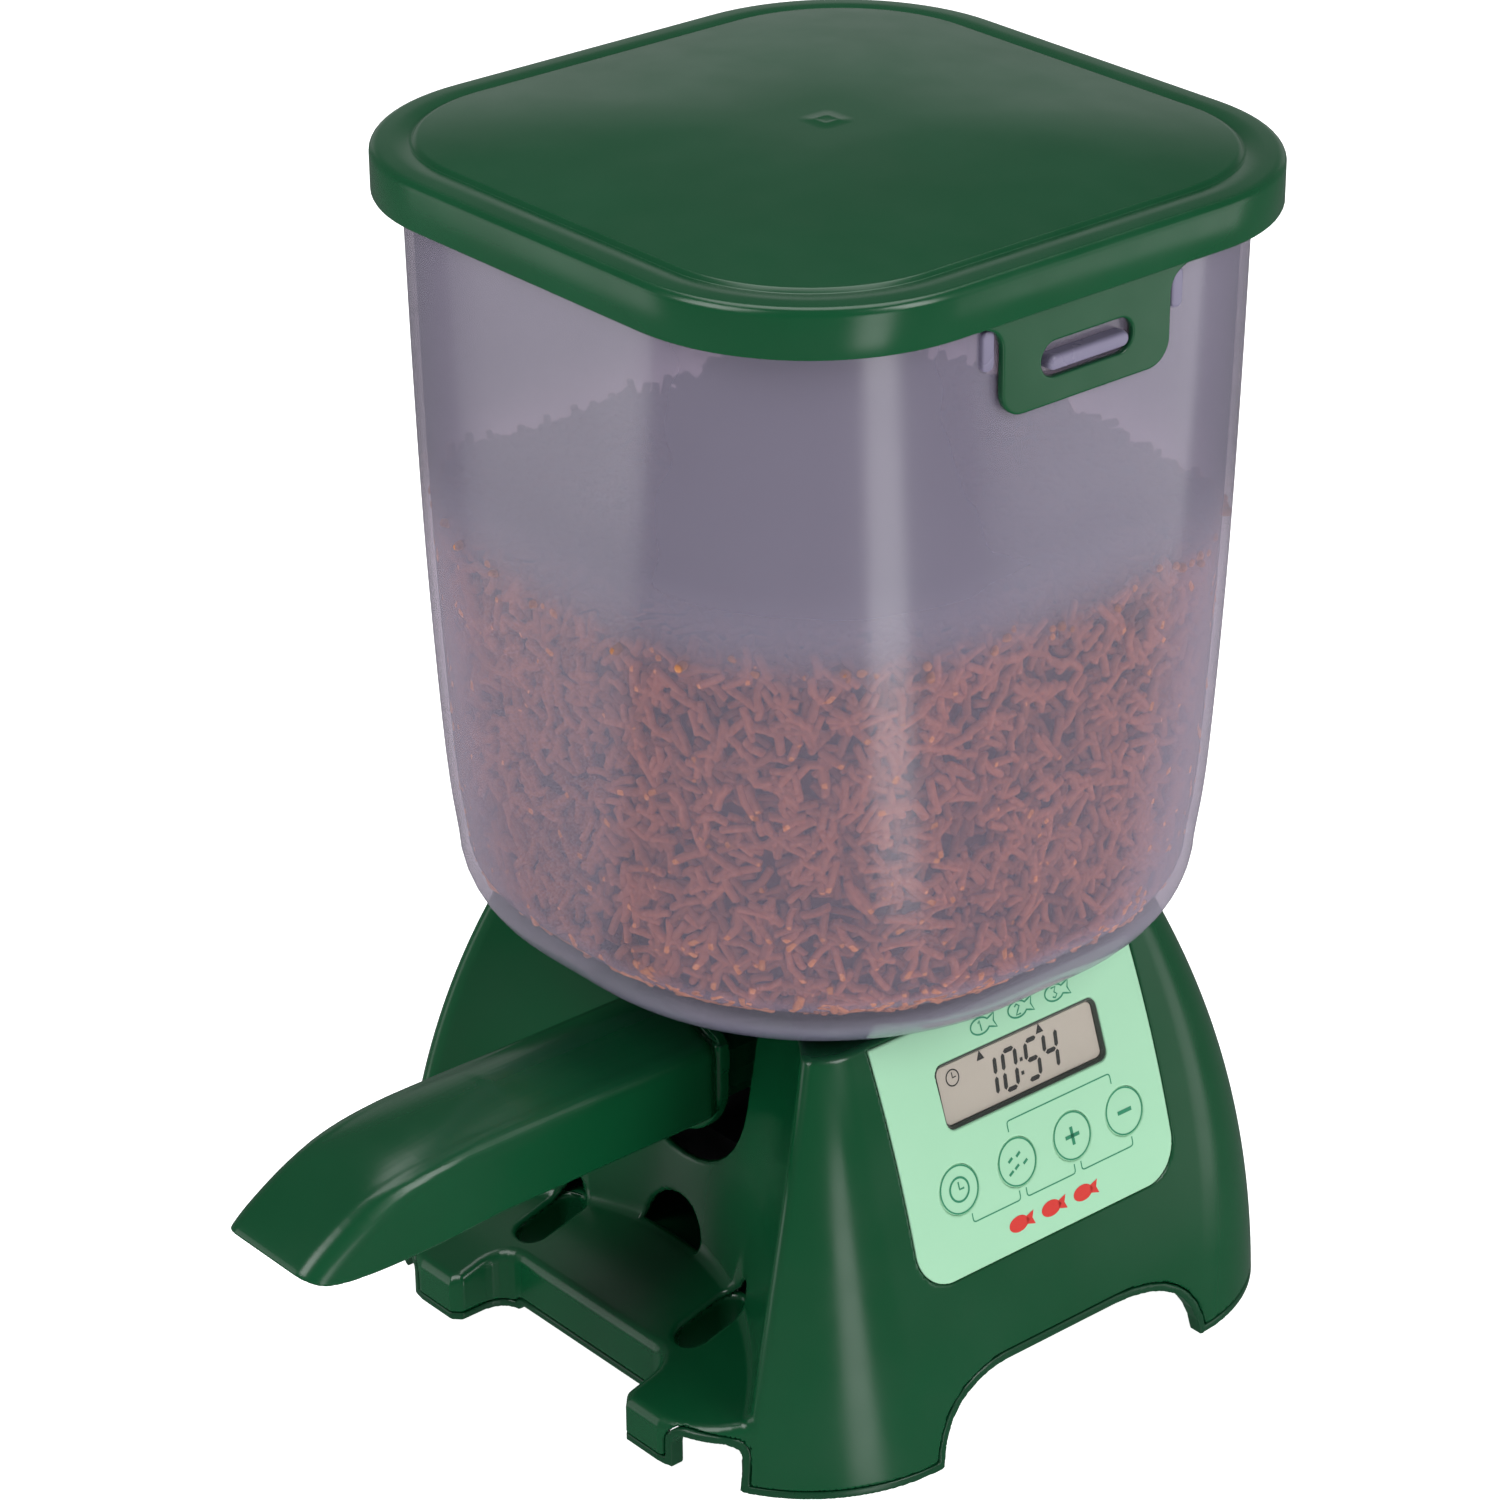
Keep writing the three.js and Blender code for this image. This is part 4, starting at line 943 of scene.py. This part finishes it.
def stroke(points, width, closed=False, step=1.5):
    """A line of ink: quads along points."""
    points = np.array(points, float)
    if closed:
        points = np.concatenate([points, points[:1]])
    fine = [points[0]]
    for a, b in zip(points, points[1:]):
        parts = max(1, int(np.linalg.norm(b - a) / step))
        fine += [a + (b - a) * t / parts for t in range(1, parts + 1)]
    fine = np.array(fine)
    ahead = np.roll(fine, -1, axis=0) - fine
    behind = fine - np.roll(fine, 1, axis=0)
    if closed:
        ahead[-1], behind[0] = fine[1] - fine[0], fine[-1] - fine[-2]
    else:
        ahead[-1], behind[0] = behind[-1], ahead[0]
    way = ahead / np.linalg.norm(ahead, axis=1)[:, None] + behind / np.linalg.norm(behind, axis=1)[:, None]
    way /= np.linalg.norm(way, axis=1)[:, None]
    aside = np.stack([-way[:, 1], way[:, 0]], 1) * width / 2
    left, right = fine + aside, fine - aside
    return [[right[i], right[i + 1], left[i + 1], left[i]] for i in range(len(fine) - 1)]


def ring_line(u, v, radius, width, steps=48):
    return stroke(arc(u, v, radius, 0, 360, steps)[:-1], width, closed=True)


def fish(u, v, size, filled):
    """A plain fish, facing left: an oval body with a forked tail."""
    long, short = size * 0.62, size * 0.40
    turns = np.radians(np.arange(30, 331, 15))
    body = [(u + long * math.cos(a), v + short * math.sin(a)) for a in turns]
    tail = [(u + size * 1.02, v - size * 0.36), (u + size * 0.88, v), (u + size * 1.02, v + size * 0.36)]
    if not filled:
        return stroke(body + tail, size * 0.09, closed=True)
    middle = len(body) // 2
    shapes = [[body[i], body[i + 1], body[-2 - i], body[-1 - i]] for i in range(middle)]
    inner = u + size * 0.5
    shapes.append([(inner, v + size * 0.2), (inner, v - size * 0.2), tail[0], tail[1]])
    shapes.append([(inner, v - size * 0.2), (inner, v + size * 0.2), tail[2], tail[1]])
    return shapes


def small_digit(digit, u, v, size):
    half, tall = size * 0.3, size * 0.5
    lines = {
        1: [(u - half * 0.6, v + tall * 0.6), (u + half * 0.2, v + tall), (u + half * 0.2, v - tall)],
        2: [(u - half, v + tall * 0.6), (u, v + tall), (u + half, v + tall * 0.5),
            (u - half, v - tall), (u + half, v - tall)],
        3: [(u - half, v + tall), (u + half, v + tall), (u, v + tall * 0.15), (u + half, v - tall * 0.4),
            (u, v - tall), (u - half, v - tall * 0.7)],
    }
    return stroke(lines[digit], size * 0.16)


def make_print(name, shapes, body, slot, material, place):
    """Ink shapes laid on a surface by place(u, v)."""
    points, faces = [], []
    for shape in shapes:
        faces.append(tuple(range(len(points), len(points) + len(shape))))
        points += [place(u, v) for u, v in shape]
    make_piece(name, points, faces, body, slot, material, smooth=False)


def bracket(start, end, level, drop, corner=1.2):
    """A thin bracket between two keys, with short ends towards them."""
    way = 1 if drop > 0 else -1
    left = [(start, level + drop), (start, level + way * corner)] + bend(
        (start, level + way * corner), (start, level), (start + corner, level), 4)
    right = bend((end - corner, level), (end, level), (end, level + way * corner), 4) + [(end, level + drop)]
    return stroke(left + [(end - corner, level)] + right, 0.42)


def make_print_on_label():
    time, feed, plus, minus = BUTTONS.values()
    low, high = BUTTON["up"] - BUTTON["radius"], BUTTON["up"] + BUTTON["radius"]
    lines = bracket(feed - 1, minus - 3, high + 5.6, -3.4)
    lines += bracket(time + 3, feed - 1.4, low - 4.0, 3.0)
    lines += bracket(feed + 1.4, plus - 1.4, low - 4.0, 3.0)
    lines += bracket(plus + 1.4, minus + 1, low - 4.0, 3.0)
    for number, across in enumerate((-12.1, 3.4, 18.8)):
        lines += fish(across, 31.8, 6.2, False)
        lines += small_digit(number + 1, across, 31.8, 3.2)
    make_print("label_lines", lines, "base", "label", ink, on_film)
    shoal = [shape for i in range(3) for shape in fish(-14 + 13.5 * i, -31.4, 6.4, True)]
    make_print("label_red_fish", shoal, "base", "label", red_ink, on_film)


def key_icon(name, across):
    """The sign on each key: clock, feed, plus and minus."""
    u, v = across, BUTTON["up"]
    signs = {
        "button_time": ring_line(u, v, 3.7, 0.7, 32) + stroke([(u, v + 2.4), (u, v), (u + 1.9, v)], 0.6),
        "button_feed": [s for du, dv in ((-2.6, 1.4), (0.8, 2.2), (-0.6, -1.4), (3.0, -0.9), (-3.2, -2.6))
                        for s in stroke([(u + du - 0.9, v + dv - 0.5), (u + du + 0.9, v + dv + 0.5)], 0.9)],
        "button_plus": stroke([(u - 2.9, v), (u + 2.9, v)], 1.2) + stroke([(u, v - 2.9), (u, v + 2.9)], 1.2),
        "button_minus": stroke([(u - 2.9, v), (u + 2.9, v)], 1.3),
    }
    return signs[name]


def make_buttons():
    """Each key: a disc of film with a soft edge and a slight dome, and its printed ring and sign."""
    radius = BUTTON["radius"]
    for name, across in BUTTONS.items():
        rings = []
        edge = radius - 0.25
        levels = [(0.4, -2.6), (edge, -2.6), (radius, -2.3), (radius, -0.75), (edge, -0.5)]
        levels += [(radius * t, -0.5 + 0.18 * (1 - t * t)) for t in (0.9, 0.7, 0.5, 0.3, 0.06)]
        for size, out in levels:
            ring = arc(across, BUTTON["up"], size, 0, 360, 48)[:-1]
            rings.append([on_plane(u, v, out) for u, v in ring])
        points, faces = loft(rings)
        make_piece(name + "_key", points, faces, name, "label", mint, [name])
        sign = ring_line(across, BUTTON["up"], radius - 0.45, 0.5) + key_icon(name, across)

        def on_key(u, v, across=across):
            t = math.hypot(u - across, v - BUTTON["up"]) / radius
            return on_plane(u, v, -0.5 + 0.18 * (1 - t * t) + 0.05)

        make_print(name + "_print", sign, name, "label", ink, on_key)


SEGMENTS = {
    "a": ((0, 2), (1, 2)), "b": ((1, 2), (1, 1)), "c": ((1, 1), (1, 0)), "d": ((0, 0), (1, 0)),
    "e": ((0, 1), (0, 0)), "f": ((0, 2), (0, 1)), "g": ((0, 1), (1, 1)),
}
DIGIT_SEGMENTS = {"0": "abcdef", "1": "bc", "4": "bcfg", "5": "acdfg"}


def segment_digit(digit, u, v, wide, tall, thick):
    """Seven-segment figure with pointed segments, leaning to the right."""
    lean = 0.12
    shapes = []
    for key in DIGIT_SEGMENTS[digit]:
        (u0, v0), (u1, v1) = (np.array(p, float) * (wide, tall / 2) for p in SEGMENTS[key])
        way = np.array((u1 - u0, v1 - v0))
        way /= np.linalg.norm(way)
        aside = np.array((-way[1], way[0])) * thick / 2
        start = np.array((u0, v0)) + way * 0.35
        end = np.array((u1, v1)) - way * 0.35
        shape = [start, start + way * thick / 2 - aside, end - way * thick / 2 - aside,
                 end, end - way * thick / 2 + aside, start + way * thick / 2 + aside]
        shapes.append([(u + p[0] + lean * p[1], v + p[1]) for p in shape])
    return shapes


DISPLAY_OUT = -2.0


def make_display():
    middle = (DISPLAY["low"] + DISPLAY["high"]) / 2
    tall = (DISPLAY["high"] - DISPLAY["low"]) / 2
    half = DISPLAY["half"]

    def outline(by, out):
        corner = max(DISPLAY["corner"] - by, 0.6)
        u, v = half - by - corner, tall - by - corner
        points = arc(u, middle + v, corner, 0, 90, 6) + arc(-u, middle + v, corner, 90, 180, 6)
        points += arc(-u, middle - v, corner, 180, 270, 6) + arc(u, middle - v, corner, 270, 360, 6)
        return [on_plane(a, b, out) for a, b in points]

    glass = loft([outline(0.9, -3.4), outline(0.9, -2.2), outline(1.1, DISPLAY_OUT)])
    make_piece("display_glass", *glass, "base", "crystal", crystal, ["display"], smooth=False)
    levels = [(0.55, -1.9), (0.05, -1.9), (0.0, -1.7), (0.0, -1.15), (0.35, -0.95), (0.9, -0.9)]
    window = loft([outline(by, out) for by, out in levels])
    make_piece("display_lens_cover", *window, "base", "lens", lens, ["display_window"], smooth=False)
    frame_levels = [(-0.25, -3.2), (-0.25, -0.75), (0.1, -0.7), (0.75, -1.6), (0.8, -3.2)]
    bezel = loft([outline(by, out) for by, out in frame_levels], closed=True)
    make_piece("display_bezel", *bezel, "base", "black_plastic", bezel_look, smooth=False)
    shapes = []
    digit_low, wide, height, thick = middle - 6.6, 5.0, 12.0, 1.5
    for digit, place in zip("1054", (-15.4, -7.0, 2.4, 10.0)):
        shapes += segment_digit(digit, place, digit_low, wide, height, thick)
    for rise in (3.2, 7.4):
        dot = 0.2 + rise * 0.12
        shapes.append([(dot - 0.6, digit_low + rise - 0.6), (dot + 0.6, digit_low + rise - 0.6),
                       (dot + 0.7, digit_low + rise + 0.6), (dot - 0.5, digit_low + rise + 0.6)])
    for place in (-14.2, 10.4):
        shapes.append([(place - 1.6, middle + 6.1), (place + 1.6, middle + 6.1), (place, middle + 9.1)])
    clock_u, clock_v = -half + 7.0, middle + 4.6
    shapes += ring_line(clock_u, clock_v, 2.5, 0.45, 32)
    shapes += stroke([(clock_u, clock_v + 1.7), (clock_u, clock_v), (clock_u + 1.4, clock_v)], 0.45)
    make_print("display_figures", shapes, "base", "crystal", segment_ink,
               lambda u, v: on_plane(u, v, DISPLAY_OUT + 0.05))


bezel_look = moulded("display_edge", (0.03, 0.04, 0.032), (0.06, 0.075, 0.06), (0.3, 0.4), 700, 0.05)


# ---- camera, light and floor -------------------------------------------------------


def area_light(name, azimuth, elevation, distance, size, power, look_at):
    """A soft box. Azimuth 0 stands in front of the spout, 90 in front of the panel."""
    a, e = math.radians(azimuth), math.radians(elevation)
    way = Vector((math.sin(a) * math.cos(e), -math.cos(a) * math.cos(e), math.sin(e)))
    data = bpy.data.lights.new(name, "AREA")
    data.shape = "RECTANGLE"
    data.size, data.size_y = size
    data.energy = power
    light = bpy.data.objects.new(name, data)
    light.location = look_at + way * distance
    light.rotation_euler = (-way).to_track_quat("-Z", "Y").to_euler()
    light.visible_camera = False
    bpy.context.scene.collection.objects.link(light)
    return light


def floor_paper():
    """White studio paper, lit evenly enough to stay white in the light's shade."""
    material, tree, shader, _ = new_material("floor_paper")
    tree.links.new(ramp(tree, noise(tree, 30, 2), 0.84, 0.86), shader.inputs["Base Color"])
    shader.inputs["Roughness"].default_value = 0.9
    shader.inputs["Specular IOR Level"].default_value = 0.1
    shader.inputs["Emission Color"].default_value = (1, 1, 1, 1)
    shader.inputs["Emission Strength"].default_value = 1.0
    return material


def make_studio():
    scene = bpy.context.scene
    world = bpy.data.worlds.new("studio")
    world.use_nodes = True
    background = world.node_tree.nodes["Background"]
    background.inputs["Color"].default_value = (0.95, 0.97, 1.0, 1)
    background.inputs["Strength"].default_value = 0.14
    scene.world = world
    scene.view_settings.view_transform = "Standard"
    centre = Vector((0, AXIS_Y, 0.2))
    area_light("key_left", -5, 42, 1.7, (0.8, 1.0), 12, centre)
    area_light("fill_right", 104, 36, 1.8, (0.6, 1.1), 12.5, centre)
    area_light("overhead", 225, 78, 1.5, (1.2, 0.9), 10, centre)
    area_light("back_sheen", 226, 12, 1.7, (2.4, 0.7), 1.3, centre)
    area_light("corner_strip", 80, -13, 1.5, (0.42, 1.1), 3.9, centre)
    area_light("right_edge", 138, 0, 1.6, (0.5, 1.2), 2.4, centre)
    area_light("left_edge", -42, 0, 1.6, (0.5, 1.2), 2.0, centre)
    floor_mesh = bpy.data.meshes.new("floor")
    reach = 6.0
    corners = [(-reach, -reach, 0), (reach, -reach, 0), (reach, reach, 0), (-reach, reach, 0)]
    floor_mesh.from_pydata(corners, [], [(0, 1, 2, 3)])
    floor_mesh.materials.append(floor_paper())
    floor = bpy.data.objects.new("floor", floor_mesh)
    floor.visible_glossy = False
    floor.visible_shadow = False
    scene.collection.objects.link(floor)


def make_camera():
    azimuth, elevation, distance = math.radians(48.656), math.radians(26.925), 1.506
    back = Vector((
        math.sin(azimuth) * math.cos(elevation),
        -math.cos(azimuth) * math.cos(elevation),
        math.sin(elevation),
    ))
    data = bpy.data.cameras.new("camera")
    data.lens = 116.8
    data.shift_x, data.shift_y = -0.0509, 0.0077
    camera = bpy.data.objects.new("camera", data)
    camera.location = Vector((0, AXIS_Y, 0.1792)) + back * distance
    camera.rotation_euler = back.to_track_quat("Z", "Y").to_euler()
    bpy.context.scene.collection.objects.link(camera)
    bpy.context.scene.camera = camera


# ---- the scene ---------------------------------------------------------------------

make_camera()
make_studio()
paint_nodes()
make_base()
make_spout()
make_lid()
make_hopper()
make_feed()
label_piece()
make_print_on_label()
make_buttons()
make_display()
